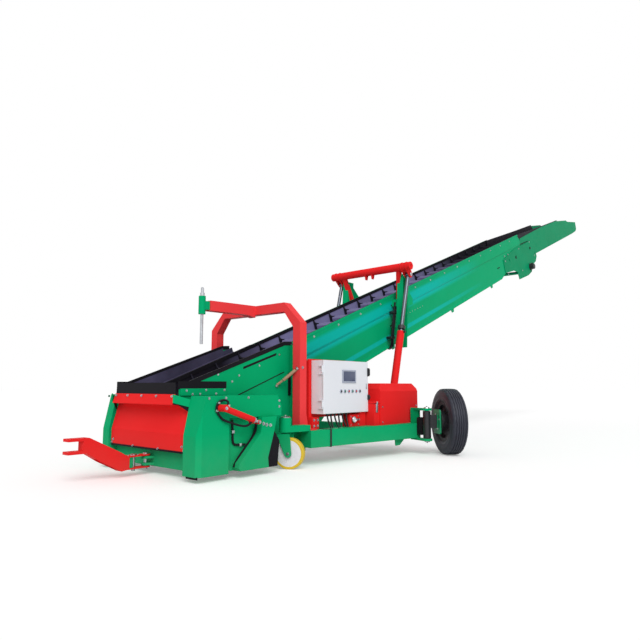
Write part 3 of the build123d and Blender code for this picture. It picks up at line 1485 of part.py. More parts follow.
pieces = [
    base_frame.part,
    rear_cross.part,
    side_beams.part,
    front_panel.part,
    hopper_sides.part,
    front_covers.part,
    rear_covers.part,
    hopper_rubber.part,
    hopper_trims.part,
    hopper_sheets.part,
    gantry_posts.part,
    gantry_beam.part,
    docking_bush.part,
    docking_pin.part,
    cabinet_body.part,
    cabinet_door.part,
    cabinet_frame.part,
    cabinet_cables.part,
    pack_cover.part,
    tool_box.part,
    adjusters.part,
    struts.part,
    hitch_pins.part,
    drawbar.part,
    hitch_block.part,
    lock_pin.part,
    boom_sides.part,
    nose_sides.part,
    boom_cross.part,
    belt.part,
    rollers.part,
    side_liners.part,
    head_brackets.part,
    head_motors.part,
    uprights.part,
    lift_crossbar.part,
    *lift_parts.values(),
    *wheel_parts.values(),
    *caster_parts.values(),
]
os.makedirs("parts", exist_ok=True)
for piece in pieces:
    export_step(piece, "parts/" + piece.label + ".step")
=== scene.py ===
from math import atan2, cos, pi, radians, sin

import bmesh
import bpy
from mathutils import Matrix, Vector
from mathutils.geometry import convex_hull_2d


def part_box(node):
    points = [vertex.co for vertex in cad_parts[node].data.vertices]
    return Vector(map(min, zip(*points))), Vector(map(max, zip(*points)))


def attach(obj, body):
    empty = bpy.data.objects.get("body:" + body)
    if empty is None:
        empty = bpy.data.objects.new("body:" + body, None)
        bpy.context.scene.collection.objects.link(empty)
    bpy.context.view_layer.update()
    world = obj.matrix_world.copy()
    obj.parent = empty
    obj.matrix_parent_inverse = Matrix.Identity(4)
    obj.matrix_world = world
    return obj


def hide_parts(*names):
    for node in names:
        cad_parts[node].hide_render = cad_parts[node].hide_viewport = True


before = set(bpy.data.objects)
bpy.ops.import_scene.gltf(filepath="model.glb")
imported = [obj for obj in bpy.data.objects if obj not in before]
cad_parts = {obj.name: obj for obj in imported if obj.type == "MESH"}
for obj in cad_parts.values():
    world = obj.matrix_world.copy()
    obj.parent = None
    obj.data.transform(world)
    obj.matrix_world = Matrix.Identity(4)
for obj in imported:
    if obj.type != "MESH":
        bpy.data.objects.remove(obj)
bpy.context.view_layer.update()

# Standpoint. The machine is photographed from the front corner of its near side, at the height of its
# hopper, with a moderate wide lens and no shift. Stations run back along +X from the hopper's front.
DRAWBAR_REACH_M = 0.770
ZERO_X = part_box("drawbar")[0].x + DRAWBAR_REACH_M
CAMERA_STATION = (-2936.8, -4627.9, 803.8)
CAMERA_YAW = radians(40.878)
CAMERA_PITCH = radians(6.659)
SENSOR_MM = 36
LENS_MM = 31.49


def at(station, y, z):
    """A point of the frame from its station, side offset and height in millimetres."""
    return Vector((ZERO_X + station / 1000, y / 1000, z / 1000))


camera_data = bpy.data.cameras.new("standpoint")
camera_data.sensor_fit = "HORIZONTAL"
camera_data.sensor_width = SENSOR_MM
camera_data.lens = LENS_MM
camera = bpy.data.objects.new("standpoint", camera_data)
camera.location = at(*CAMERA_STATION)
level_share = cos(CAMERA_PITCH)
gaze = Vector((cos(CAMERA_YAW) * level_share, sin(CAMERA_YAW) * level_share, sin(CAMERA_PITCH)))
camera.rotation_euler = gaze.to_track_quat("-Z", "Y").to_euler()
bpy.context.collection.objects.link(camera)
bpy.context.scene.camera = camera
bpy.context.scene.view_settings.view_transform = "Standard"


# Studio. A pale seamless floor in an even white room, with one broad soft lamp over the near front
# corner. The floor keeps the shadow, and what the lens sees of the room is plain white.
def linear(hex_colour):
    """The linear RGBA of an sRGB hex colour."""
    channels = [int(hex_colour[i:i + 2], 16) / 255 for i in (1, 3, 5)]
    return tuple(c / 12.92 if c <= 0.04045 else ((c + 0.055) / 1.055) ** 2.4 for c in channels) + (1.0,)


def feed(tree, node, inputs):
    """Sets a node's inputs, each to a value or by a link from a socket or from a node's own output."""
    for key, value in inputs.items():
        if isinstance(value, bpy.types.Node):
            value = next(socket for socket in value.outputs if socket.enabled)
        if isinstance(value, bpy.types.NodeSocket):
            tree.links.new(value, node.inputs[key])
        else:
            node.inputs[key].default_value = value


def add(tree, kind, inputs=None, **settings):
    """Adds a node with its settings and feeds its inputs."""
    made = tree.nodes.new("ShaderNode" + kind)
    for key, value in settings.items():
        setattr(made, key, value)
    feed(tree, made, inputs or {})
    return made


def new_material(name):
    """A new node material with its Object coordinates."""
    material = bpy.data.materials.new(name)
    material.use_nodes = True
    add(material.node_tree, "TexCoord")
    return material


def parts_of(material):
    """A material's tree, its Principled shader and its Object coordinates."""
    tree = material.node_tree
    return tree, tree.nodes["Principled BSDF"], tree.nodes["Texture Coordinate"].outputs["Object"]


FLOOR_WHITE = "#f6f6f6"
FLOOR_SIZE_M = 160
FLOOR_GLOW = 0.21  # lifts the paper to white for the lens only
ROOM_LEVEL = 0.50
LAMP_POWER = 1.9
LAMP_SPREAD = radians(40)
LAMP_FROM = Vector((-0.62, -0.76, 0.80))

# Seamless paper: dead matt, and to the lens as white as the room behind it.
paper = new_material("seamless_paper")
tree, shader, place = parts_of(paper)
feed(tree, shader, {"Base Color": linear(FLOOR_WHITE), "Roughness": 0.9, "Specular IOR Level": 0.0})
path = add(tree, "LightPath")
glow = add(tree, "Emission", {"Color": (1, 1, 1, 1), "Strength": FLOOR_GLOW})
lifted = add(tree, "AddShader", {0: shader, 1: glow})
seen = add(tree, "MixShader", {0: path.outputs["Is Camera Ray"], 1: shader, 2: lifted})
feed(tree, tree.nodes["Material Output"], {"Surface": seen})
bm = bmesh.new()
bmesh.ops.create_grid(bm, x_segments=1, y_segments=1, size=FLOOR_SIZE_M / 2)
floor_mesh = bpy.data.meshes.new("floor")
bm.to_mesh(floor_mesh)
bm.free()
floor_mesh.materials.append(paper)
floor = bpy.data.objects.new("floor", floor_mesh)
bpy.context.collection.objects.link(floor)

world = bpy.data.worlds.new("white_room")
bpy.context.scene.world = world
world.use_nodes = True
tree = world.node_tree
path = add(tree, "LightPath")
direct = path.outputs["Is Camera Ray"]
for ray in ("Is Glossy Ray", "Is Transmission Ray"):
    direct = add(tree, "Math", {0: direct, 1: path.outputs[ray]}, operation="MAXIMUM")
level = add(tree, "MapRange", {"Value": direct, "To Min": ROOM_LEVEL, "To Max": 1.0})
feed(tree, tree.nodes["Background"], {"Color": (1, 1, 1, 1), "Strength": level})

lamp_data = bpy.data.lights.new("soft_lamp", "SUN")
lamp_data.energy = LAMP_POWER
lamp_data.angle = LAMP_SPREAD
lamp = bpy.data.objects.new("soft_lamp", lamp_data)
lamp.rotation_euler = LAMP_FROM.to_track_quat("Z", "Y").to_euler()
bpy.context.collection.objects.link(lamp)


# Chassis. A ladder of square tube with splayed side beams and wheel yokes, welded up and then sprayed
# with green machine enamel. Zinc-plated caps are screwed over the ends of the yokes' kingpins.
def dress(material, *nodes):
    """Gives CAD nodes this material in all their slots."""
    for name in nodes:
        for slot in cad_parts[name].material_slots:
            slot.material = material


def mottled(name, patch_mm, first_hex, second_hex, detail, rough, spread=0.0, more=None):
    """A material that drifts between two tones in cloudy patches of a real size. Its roughness follows
    the drift by the given spread, and more holds any other inputs of its shader."""
    material = new_material(name)
    tree, shader, place = parts_of(material)
    drift = add(tree, "TexNoise", {"Vector": place, "Scale": 1000 / patch_mm, "Detail": detail})
    tone = add(tree, "Mix", {0: drift, 6: linear(first_hex), 7: linear(second_hex)}, data_type="RGBA")
    haze = add(tree, "MapRange", {"Value": drift, "To Min": rough - spread, "To Max": rough + spread})
    feed(tree, shader, {"Base Color": tone, "Roughness": haze, **(more or {})})
    return material


def overpaint(material, share, hex_colour):
    """Lays a colour over a material's present one, by a share from none to full."""
    tree, shader, place = parts_of(material)
    under = shader.inputs["Base Color"].links[0].from_socket
    both = add(tree, "Mix", {0: share, 6: under, 7: linear(hex_colour)}, data_type="RGBA")
    feed(tree, shader, {"Base Color": both})


def grain(material, grain_mm, strength, depth_mm, edge_mm=0.0, detail=2.0):
    """Gives a material a fine relief of a real grain size, over rounded edges where it has them."""
    tree, shader, place = parts_of(material)
    height = add(tree, "TexNoise", {"Vector": place, "Scale": 1000 / grain_mm, "Detail": detail})
    relief = add(tree, "Bump", {"Height": height, "Strength": strength, "Distance": depth_mm / 1000})
    if edge_mm:
        feed(tree, relief, {"Normal": add(tree, "Bevel", {"Radius": edge_mm / 1000}, samples=4)})
    feed(tree, shader, {"Normal": relief})


def machine_enamel(name, hex_colour, thin_hex):
    """Sprayed machine enamel: satin and even, with a faint orange peel, cloudy where the coat is thin,
    a little road dust low down, and edges that catch the light because the paint rounds them."""
    CLOUD_MM = 420
    SPECK_MM = 110
    PEEL_MM = 22  # the real peel is about 3 mm, too fine to show
    EDGE_MM = 5.0
    DUST_HEX = "#8d8474"
    DUST_TOP_M = 0.40
    DUST_MOST = 0.18
    SATIN = (0.40, 0.56)
    material = mottled(name, CLOUD_MM, thin_hex, hex_colour, 4.0, SATIN[0])
    tree, shader, place = parts_of(material)
    height = add(tree, "SeparateXYZ", {"Vector": place}).outputs["Z"]
    low = add(tree, "MapRange", {"Value": height, "From Min": DUST_TOP_M, "From Max": 0.0,
                                 "To Max": DUST_MOST})
    speck = add(tree, "TexNoise", {"Vector": place, "Scale": 1000 / SPECK_MM, "Detail": 6.0})
    overpaint(material, add(tree, "Math", {0: low, 1: speck}, operation="MULTIPLY"), DUST_HEX)
    gloss = add(tree, "MapRange", {"Value": speck, "To Min": SATIN[0], "To Max": SATIN[1]})
    feed(tree, shader, {"Roughness": gloss, "Specular IOR Level": 0.04})
    grain(material, PEEL_MM, 0.06, 2.0, EDGE_MM)
    return material


def plated_steel(name, hex_colour, shade_hex, rough, streak_mm):
    """Plated bright steel: a metal whose sheen drifts a little from place to place."""
    return mottled(name, streak_mm, shade_hex, hex_colour, 5.0, rough, 0.09, {"Metallic": 1.0})


def put(bm, name, material, body, smooth_deg=35):
    """Closes a bmesh into a piece that rides on a body, with sharp edges left sharp."""
    bmesh.ops.recalc_face_normals(bm, faces=bm.faces)
    mesh = bpy.data.meshes.new(name)
    bm.to_mesh(mesh)
    bm.free()
    mesh.materials.append(material)
    mesh.shade_smooth()
    mesh.set_sharp_from_angle(angle=radians(smooth_deg))
    piece = bpy.data.objects.new(name, mesh)
    bpy.context.collection.objects.link(piece)
    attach(piece, body)
    return piece


def rod(bm, start, end, radius_mm, segments=16, end_radius_mm=None):
    """Adds a round bar or cone between two points."""
    run = end - start
    place = Matrix.Translation((start + end) / 2) @ run.to_track_quat("Z", "Y").to_matrix().to_4x4()
    top = radius_mm if end_radius_mm is None else end_radius_mm
    bmesh.ops.create_cone(bm, cap_ends=True, segments=segments, radius1=radius_mm / 1000,
                          radius2=top / 1000, depth=run.length, matrix=place)


def bolt(bm, seat, axis, size_mm):
    """Adds a hexagon head on its washer, in shares of its size, on a surface that faces along axis."""
    WASHER_RADIUS, WASHER_RISE = 0.95, 0.16
    HEAD_RADIUS, HEAD_RISE = 0.58, 0.60
    axis = axis.normalized()
    washer_top = seat + axis * size_mm * WASHER_RISE / 1000
    rod(bm, seat - axis * 0.001, washer_top, size_mm * WASHER_RADIUS, 12)
    rod(bm, seat, washer_top + axis * size_mm * HEAD_RISE / 1000, size_mm * HEAD_RADIUS, 6)


green_enamel = machine_enamel("green_machine_enamel", "#03ab70", "#009f63")
zinc_plate = plated_steel("bright_zinc_plate", "#dcdee2", "#8b8e94", 0.35, 60)
dress(green_enamel, "base_frame", "rear_cross", "side_beams")
HANDS = {-1: "near", 1: "far"}  # each side of the machine by the sign of its Y
UP = Vector((0, 0, 1))
KINGPIN = (2921, 1216)  # station and side offset
YOKE_FACES = ((536, UP), (160, -UP))
CAP_MM = 12
CAP_RADII = (36, 30)
bm = bmesh.new()
for side in HANDS:
    for z, facing in YOKE_FACES:
        seat = at(KINGPIN[0], side * KINGPIN[1], z)
        crown = seat + facing * CAP_MM / 1000
        rod(bm, seat - facing * 0.002, crown, CAP_RADII[0], 20, CAP_RADII[1])
        bolt(bm, crown, facing, 16)
put(bm, "kingpin_caps", zinc_plate, "chassis")


# Steering stops. A black rubber buffer, bonded to the outer edge of each yoke's end plate, stands
# beside the knuckle's barrel.
def block(bm, stations, offsets, heights, round_mm, side=1):
    """Adds a box with rounded edges between two stations, side offsets and heights in millimetres."""
    one, other = (at(s, side * y, z) for s, y, z in zip(stations, offsets, heights))
    size = Vector([abs(span) for span in other - one])
    place = Matrix.Translation((one + other) / 2) @ Matrix.Diagonal(size).to_4x4()
    corners = bmesh.ops.create_cube(bm, size=1.0, matrix=place)["verts"]
    edges = list({edge for corner in corners for edge in corner.link_edges})
    bmesh.ops.bevel(bm, geom=edges, offset=round_mm / 1000, segments=3, profile=0.5, affect="EDGES",
                    material=-1)


STEERING_STOP = ((2916, 2978), (1078, 1158), (222, 428))
# Moulded buffer rubber: near black and matt, a little greyer in patches.
buffer_rubber = mottled("black_buffer_rubber", 40, "#0f0f12", "#1f1f24", 4.0, 0.65,
                        more={"Specular IOR Level": 0.10})
bm = bmesh.new()
for side in HANDS:
    block(bm, *STEERING_STOP, 12, side)
put(bm, "steering_stops", buffer_rubber, "chassis")

# Strap. A woven black nylon band goes round the near side beam behind the gantry and is drawn tight,
# to hold the cable run against the beam.
STRAP_STATIONS = (1533, 1557)
STRAP_MM = 5.0
BEAM_Y = (-897, -735)
BEAM_Z = (185, 355)
WEAVE_MM = 9.0  # the run of one radian; the real weave is about 1 mm, too fine to show
WAVE_TURN = 20  # radians that a wave texture turns in one metre at scale 1
# Woven nylon: black and matt, with soft ribs across the band.
black_band = new_material("black_nylon_band")
tree, shader, place = parts_of(black_band)
weave = add(tree, "TexWave", {"Vector": place, "Scale": 1000 / WEAVE_MM / WAVE_TURN, "Distortion": 2.0})
skin = add(tree, "Bump", {"Height": weave.outputs["Fac"], "Strength": 0.2, "Distance": 0.001})
feed(tree, shader, {"Base Color": linear("#17171a"), "Roughness": 0.6, "Normal": skin})
bm = bmesh.new()
for offsets, heights in (((BEAM_Y[0] - STRAP_MM, BEAM_Y[0]), (BEAM_Z[0] - STRAP_MM, BEAM_Z[1] + STRAP_MM)),
                         (BEAM_Y, (BEAM_Z[1], BEAM_Z[1] + STRAP_MM)),
                         (BEAM_Y, (BEAM_Z[0] - STRAP_MM, BEAM_Z[0]))):
    block(bm, STRAP_STATIONS, offsets, heights, 1.5)
put(bm, "beam_strap", black_band, "chassis")

# Hopper. Laser-cut side plates, pressed covers and trims in the chassis green round a red front panel,
# all bolted to the ladder with zinc-plated hexagon screws.
red_enamel = machine_enamel("red_machine_enamel", "#ef2a2a", "#e32325")
dress(green_enamel, "hopper_sides", "front_covers", "rear_covers", "hopper_trims")
dress(red_enamel, "front_panel")
FORWARD = Vector((-1, 0, 0))
PLATE_Y = 506
CLAMP_Y = 520
COVER_Y = 820
HOOD_FACE = (-80, 709)  # station and height of the hood's screw row
HOOD_LEAN = Vector((-0.95, 0, 0.31))
PANEL_FACE = -35
plate_screws = [(382, 904), (637, 898), (552, 840), (900, 1000), (1180, 1120), (1180, 560)]
clamp_screws = [(28, 758), (238, 762), (450, 762), (92, 726), (173, 727), (353, 728)]
cover_screws = [(870, 606), (870, 660), (222, 695), (480, 695), (40, 695)]
hood_screws = [-461, -222, 17, 256, 461]
panel_screws = [(-563, 283), (-206, 242), (206, 242), (563, 283), (-590, 254), (590, 254)]
bm = bmesh.new()
for side in HANDS:
    for screws, y, size_mm in ((plate_screws, PLATE_Y, 11), (clamp_screws, CLAMP_Y, 11),
                               (cover_screws, COVER_Y, 12)):
        for s, z in screws:
            bolt(bm, at(s, side * y, z), Vector((0, side, 0)), size_mm)
for y in hood_screws:
    bolt(bm, at(HOOD_FACE[0], y, HOOD_FACE[1]), HOOD_LEAN, 13)
for y, z in panel_screws:
    bolt(bm, at(PANEL_FACE, y, z), FORWARD, 14)
put(bm, "hopper_screws", zinc_plate, "chassis")


# Hopper rubbers. Black belting seals the hopper's sides and front, cut from sheet and clamped by the trims;
# its inner sheets carry a painted sheen. Strips of it edge the side plates' tops, hang as skirts below the
# front corners and lip the red panel's foot. Further strips are painted shade: in the gaps at the side
# plates' rear ends, behind their slots and along their creases, and in the cover recesses, where they are
# also the recesses' black edge.
def belting(name, hex_colour, bloom_and_sheen_hex, rough, bloom_and_sheen_mm=330):
    """Calendered rubber sheet: matt, with a fabric imprint and a greyer bloom in patches, which is rubbing
    where it is faint and a painted sheen where it is pale.
    """
    IMPRINT_MM = 14  # the real imprint is about 2 mm, too fine to show
    material = mottled(name, bloom_and_sheen_mm, hex_colour, bloom_and_sheen_hex, 5.0, rough, 0.1, {"Specular IOR Level": 0.10})
    grain(material, IMPRINT_MM, 0.15, 2.0)
    return material


def plate(bm, outline, thickness):
    """Adds a flat plate from its outline, grown along the given vector."""
    face = bm.faces.new([bm.verts.new(point) for point in outline])
    grown = bmesh.ops.extrude_face_region(bm, geom=[face])["geom"]
    bmesh.ops.translate(bm, vec=thickness, verts=[v for v in grown if isinstance(v, bmesh.types.BMVert)])


def smooth_line(name, points, resolution):
    """A smooth curve that starts at the first of some points and ends at the last."""
    curve = bpy.data.curves.new(name, "CURVE")
    curve.dimensions = "3D"
    curve.resolution_u = resolution
    line = curve.splines.new("NURBS")
    line.points.add(len(points) - 1)
    for knot, point in zip(line.points, points):
        knot.co = (*point, 1)
    line.order_u = 3
    line.use_endpoint_u = True
    return curve


def bent_pipe(bm, points, radius_mm, sides=10):
    """Adds a round pipe along a smooth line through points, with closed ends."""
    curve = smooth_line("pipe_line", points, 5)
    bare = bpy.data.meshes.new_from_object(bpy.data.objects.new("pipe_line", curve))
    run = [v.co.copy() for v in bare.vertices]
    bpy.data.meshes.remove(bare)
    bpy.data.curves.remove(curve)
    turn_up = (run[1] - run[0]).orthogonal()
    rings = []
    for i, point in enumerate(run):
        heading = (run[min(i + 1, len(run) - 1)] - run[max(i - 1, 0)]).normalized()
        turn_up = (turn_up - heading * turn_up.dot(heading)).normalized()
        place = Matrix((turn_up, heading.cross(turn_up), heading)).transposed().to_4x4()
        place.translation = point
        ring = bmesh.ops.create_circle(bm, cap_ends=i in (0, len(run) - 1), segments=sides,
                                       radius=radius_mm / 1000, matrix=place)["verts"]
        rings.append(list({edge for v in ring for edge in v.link_edges}))
    for one, two in zip(rings, rings[1:]):
        bmesh.ops.bridge_loops(bm, edges=one + two)


black_rubber = belting("black_rubber_sheet", "#0e0d12", "#1c1b21", 0.6)
# The inner sheets' pale violet bloom is a painted sheen on the dark rubber.
sheened_rubber = belting("sheened_rubber_sheet", "#17151d", "#625e7e", 0.5)
dress(black_rubber, "hopper_rubber")
dress(sheened_rubber, "hopper_sheets")
# Rear strips: black rubber laid in as painted shade in the gap between each side plate and the boom.
REAR_SHADE_STRIP = ((1310, 1354), (505, 518), (700, 935))  # stations, side offsets and heights
FRONT_SKIRT = ((-52, -43), (648, 800), (32, 54))
PANEL_LIP = ((PANEL_FACE - 5, PANEL_FACE + 6), (-600, 600), (226, 243))
TRIM_Y = (495, 509)
SLOT_SHADE_Y = (500.5, 502.5)
RECESS_Y = 797
CREASE_SHADE_RADIUS = 5.0
RECESS_RADIUS = 12
top_trim = [(74, 803), (1254, 1219), (1350, 1226), (1350, 1266), (1247, 1260), (62, 841)]
# The slot fills are painted shade: black strips behind the slots, where the slots look into shade.
slot_shade_fill = [(688, 957), (1142, 1112), (1142, 1137), (688, 982)]
# The crease beads are painted shade along each side plate's fold.
crease_shade_line = [(629, 712), (840, 790), (1040, 864), (1250, 942)]
# The recess beads are partly the recess's black edge and partly painted shade in the recess.
recess_edge_and_shade = [(607, 500), (601, 384), (478, 258), (352, 132), (344, 96)]
bm = bmesh.new()
for side in HANDS:
    block(bm, *REAR_SHADE_STRIP, 4, side)
    for outline, (inner, outer) in ((top_trim, TRIM_Y), (slot_shade_fill, SLOT_SHADE_Y)):
        grow = Vector((0, side * (outer - inner) / 1000, 0))
        plate(bm, [at(s, side * inner, z) for s, z in outline], grow)
    for line, y, radius_mm in ((crease_shade_line, PLATE_Y, CREASE_SHADE_RADIUS), (recess_edge_and_shade, RECESS_Y, RECESS_RADIUS)):
        bent_pipe(bm, [at(s, side * y, z) for s, z in line], radius_mm, 8)
    block(bm, *FRONT_SKIRT, 2, side)
block(bm, *PANEL_LIP, 2)
put(bm, "hopper_edge_and_shade_strips", black_rubber, "chassis")

# Cover piping. Each front cover carries a sleeved steel oil pipe: it bends round the adjuster's head and
# runs below its barrel to the rod end. A second one drops in the recess, and both are held by saddles.
sleeve_rubber = belting("black_pipe_sleeve", "#141417", "#24242a", 0.42, 60)
PIPE_RADIUS = 10
UNION_Y = 865
upper_pipe = [(195, 640, 880), (223, 668, 862), (175, 682, 840), (128, 662, 836), (104, 611, 834),
              (130, 560, 834), (181, 508, 836), (250, 486, 850), (350, 453, 868), (420, 448, 880),
              (456, 478, 888), (455, 500, 890)]
lower_pipe = [(322, 500, 787), (328, 440, 787), (331, 380, 787), (331, 336, 787), (338, 296, 787),
              (375, 281, 787), (477, 281, 787)]
cover_saddles = [(130, 655), (112, 590)]
recess_saddles = [(331, 400), (420, 281)]
unions = [(628, 459), (667, 447), (713, 441)]
bm, fittings = bmesh.new(), bmesh.new()
for side in HANDS:
    for pipe in (upper_pipe, lower_pipe):
        bent_pipe(bm, [at(s, side * y, z) for s, z, y in pipe], PIPE_RADIUS)
    for s, z in cover_saddles:
        block(fittings, (s - 11, s + 11), (819, 848), (z - 9, z + 9), 3, side)
    for s, z in recess_saddles:
        block(fittings, (s - 14, s + 14), (774, 800), (z - 14, z + 14), 4, side)
    for s, z in unions:
        bolt(fittings, at(s, side * UNION_Y, z), Vector((0, side, 0)), 17)
put(bm, "cover_piping", sleeve_rubber, "chassis")
put(fittings, "pipe_saddles", zinc_plate, "chassis")


# Adjusters. Small hydraulic cylinders on the covers: a red barrel, a bright rod in a gland, a head port
# and a pinned clevis at each end.
def turned(bm, centre, axis, profile, steps):
    """Adds a turned part: a closed profile of (radius, along) in millimetres swept round an axis."""
    axis = axis.normalized()
    out = axis.orthogonal().normalized()
    ring = [bm.verts.new(centre + out * r / 1000 + axis * a / 1000) for r, a in profile]
    edges = [bm.edges.new((ring[i - 1], ring[i])) for i in range(len(ring))]
    bmesh.ops.spin(bm, geom=ring + edges, cent=centre, axis=axis, angle=2 * pi, steps=steps, use_merge=True)


dress(red_enamel, "adjusters")
ADJUST_Y = 890
ADJUST_HEAD = (150, 612)
ADJUST_GLAND = (484, 499)
ADJUST_END = (545, 478)
HEAD_HALF_M = 0.028
EYE_HALF_M = 0.014
PORT_ALONG_M = 0.05
PORT_RISE_M = (0.02, 0.045)
gland_profile = [(11.4, -4), (29, -4), (29, 8), (24, 14), (11.4, 14)]
wiper_profile = [(11.2, 14), (13, 14), (13, 56), (11.2, 56)]
bm = bmesh.new()
for side in HANDS:
    head, gland, eye = (at(s, side * ADJUST_Y, z) for s, z in (ADJUST_HEAD, ADJUST_GLAND, ADJUST_END))
    run = (gland - head).normalized()
    outward = Vector((0, side, 0))
    turned(bm, gland, run, gland_profile, 20)
    turned(bm, gland, run, wiper_profile, 16)
    bolt(bm, head + outward * HEAD_HALF_M, outward, 15)
    bolt(bm, eye + outward * EYE_HALF_M, outward, 15)
    port = head + run * PORT_ALONG_M
    rod(bm, port + UP * PORT_RISE_M[0], port + UP * PORT_RISE_M[1], 13, 6)
put(bm, "adjuster_fittings", zinc_plate, "chassis")

# Gantry. Square tube posts bent inwards and welded to a beam with a forward arm, in a lighter red enamel
# than the rest. The arm's tip holds a green bush with the bright docking pin.
lighter_red = machine_enamel("lighter_red_enamel", "#f4474a", "#ea3b3e")
dress(lighter_red, "gantry_posts", "gantry_beam")
dress(green_enamel, "docking_bush")
dress(zinc_plate, "docking_pin")
NEAR_OUT = Vector((0, -1, 0))
FOOT_Y = -759
bm = bmesh.new()
for s, z in ((1438, 388), (1494, 388), (1438, 448), (1494, 448)):
    bolt(bm, at(s, FOOT_Y, z), NEAR_OUT, 14)
put(bm, "gantry_foot_screws", zinc_plate, "chassis")

# Spring struts. Gas struts of tan passivated steel brace the side plates from the gantry. Each is a rod
# in a tube, and its hexagon ends turn on ball studs.
STRUT_TOP = (1263, 702, 986)
STRUT_FOOT = (1130, 506, 790)
STUD_AT = (1303, 722, 986)
tube_profile = [(12.2, 40), (17, 46), (17, 200), (12.2, 206)]
top_nut = [(12.2, 6), (19, 6), (19, 24), (12.2, 24)]
foot_nut = [(12.2, 8), (18, 8), (18, 24), (12.2, 24)]
# Passivated steel: a warm tan film that drifts in depth, half dull, with a little of the metal's shine.
tan_steel = mottled("tan_passivated_steel", 45, "#a07a60", "#bd967c", 4.0, 0.42, more={"Metallic": 0.25})
dress(tan_steel, "struts")
bm, studs = bmesh.new(), bmesh.new()
for side in HANDS:
    top, foot, stud = (at(s, side * y, z) for s, y, z in (STRUT_TOP, STRUT_FOOT, STUD_AT))
    run = (foot - top).normalized()
    turned(bm, top, run, tube_profile, 20)
    turned(studs, top, run, top_nut, 6)
    bolt(studs, stud, Vector((0, side, 0)), 16)
    turned(studs, foot, -run, foot_nut, 6)
put(bm, "strut_tubes", tan_steel, "chassis")
put(studs, "strut_studs", zinc_plate, "chassis")


# Control cabinet. A folded sheet-steel box in fine-grained white powder coat, screwed to a red carrier.
# Its gasketed door hangs on two hinges.
def powder_coat(name, hex_colour, shade_hex):
    """Fine-grained powder coat: even and satin with a tiny leather grain."""
    GRAIN_MM = 9.0  # the real grain is about 1 mm, too fine to show
    TONE_MM = 500
    EDGE_MM = 4.0
    material = mottled(name, TONE_MM, shade_hex, hex_colour, 3.0, 0.42, more={"Specular IOR Level": 0.35})
    grain(material, GRAIN_MM, 0.05, 1.0, EDGE_MM)
    return material


white_coat = powder_coat("white_powder_coat", "#e6e9ef", "#dfe1e8")
dress(white_coat, "cabinet_body", "cabinet_door")
dress(red_enamel, "cabinet_frame")


# Screen. A dark glass display in a grey moulded bezel, set into the door and clamped from behind.
# The bezel's front steps in to the glass.
def moulded(name, hex_colour, shade_hex, rough):
    """Injection-moulded plastic: an even body colour with a faint spark-eroded grain."""
    GRAIN_MM = 8.0  # the real grain is under 1 mm, too fine to show
    material = mottled(name, GRAIN_MM, shade_hex, hex_colour, 3.0, rough)
    grain(material, GRAIN_MM, 0.08, 1.0, detail=3.0)
    return material


bezel_grey = moulded("grey_moulded_bezel", "#aab0c0", "#9ca2b4", 0.45)
DOOR_FACE = -859
SCREEN_STATIONS = (1795, 2002)
SCREEN_Z = (846, 954)
BEZEL_MM = 16
BEZEL_RISE = 9.0
BEZEL_FLAT_M = 0.013
BEZEL_STEP_M = (0.002, 0.004)  # across and down


def widened(span, by):
    """A low and high value, both moved outwards."""
    return span[0] - by, span[1] + by


bm = bmesh.new()
block(bm, widened(SCREEN_STATIONS, BEZEL_MM), (DOOR_FACE - BEZEL_RISE, DOOR_FACE),
      widened(SCREEN_Z, BEZEL_MM), 3)
front = min(bm.faces, key=lambda face: face.calc_center_median().y)
bmesh.ops.inset_region(bm, faces=[front], thickness=BEZEL_FLAT_M, use_even_offset=True)
bmesh.ops.inset_region(bm, faces=[front], thickness=BEZEL_STEP_M[0], depth=-BEZEL_STEP_M[1],
                       use_even_offset=True)
put(bm, "screen_bezel", bezel_grey, "door")
# Display glass: smooth and glossy, a dark slate blue that clouds a little.
dark_glass = mottled("dark_display_glass", 130, "#3c4460", "#515a77", 1.0, 0.16)
bm = bmesh.new()
block(bm, widened(SCREEN_STATIONS, 2), (DOOR_FACE - 6, DOOR_FACE - 1), widened(SCREEN_Z, 2), 1)
put(bm, "screen_glass", dark_glass, "door", 30)

# Push buttons. Six moulded caps in black, green and red, each in a grey collar that screws on from the
# door's front.
BUTTON_ROW = 741
CAP_STEPS_M = (0.010, 0.012)
button_order = {1760: "black", 1826: "green", 1892: "red", 1958: "green", 2024: "red", 2090: "black"}
button_colours = {"black": ("#26262c", "#1d1d22"), "green": ("#1f7d5d", "#19694e"),
                  "red": ("#c2383c", "#a92d31")}
collar_profile = [(12, -1), (21, -1), (21, 4), (18, 7), (12, 7)]
collars = bmesh.new()
for s in button_order:
    turned(collars, at(s, DOOR_FACE, BUTTON_ROW), NEAR_OUT, collar_profile, 20)
put(collars, "button_collars", bezel_grey, "door")
for colour, tones in button_colours.items():
    bm = bmesh.new()
    for s, kind in button_order.items():
        if kind == colour:
            base = at(s, DOOR_FACE, BUTTON_ROW)
            neck, crown = (base + NEAR_OUT * rise for rise in CAP_STEPS_M)
            rod(bm, base, neck, 12, 20, 11)
            rod(bm, neck, crown, 11, 20, 8)
    put(bm, "buttons_" + colour, moulded(colour + "_moulded_cap", *tones, 0.35), "door")

# Latches and lock. Two quarter-turn latches moulded in black plastic at the door's free edge, and a
# zinc-plated lock plate between them.
black_moulding = moulded("black_moulded_plastic", "#1b1b20", "#131317", 0.45)
LATCH_STATIONS = (2232, 2263)
KNOB_STATIONS = (2240, 2256)
LOCK_PLATE = ((2206, 2220), (DOOR_FACE - 8, DOOR_FACE), (764, 826))
bm = bmesh.new()
for latch_z in ((905, 998), (640, 700)):
    block(bm, LATCH_STATIONS, (DOOR_FACE - 16, DOOR_FACE + 1), latch_z, 5)
    block(bm, KNOB_STATIONS, (DOOR_FACE - 27, DOOR_FACE - 14), widened(latch_z, -12), 4)
put(bm, "cabinet_latches", black_moulding, "door")
bm = bmesh.new()
block(bm, *LOCK_PLATE, 3)
put(bm, "cabinet_lock_plate", zinc_plate, "door")

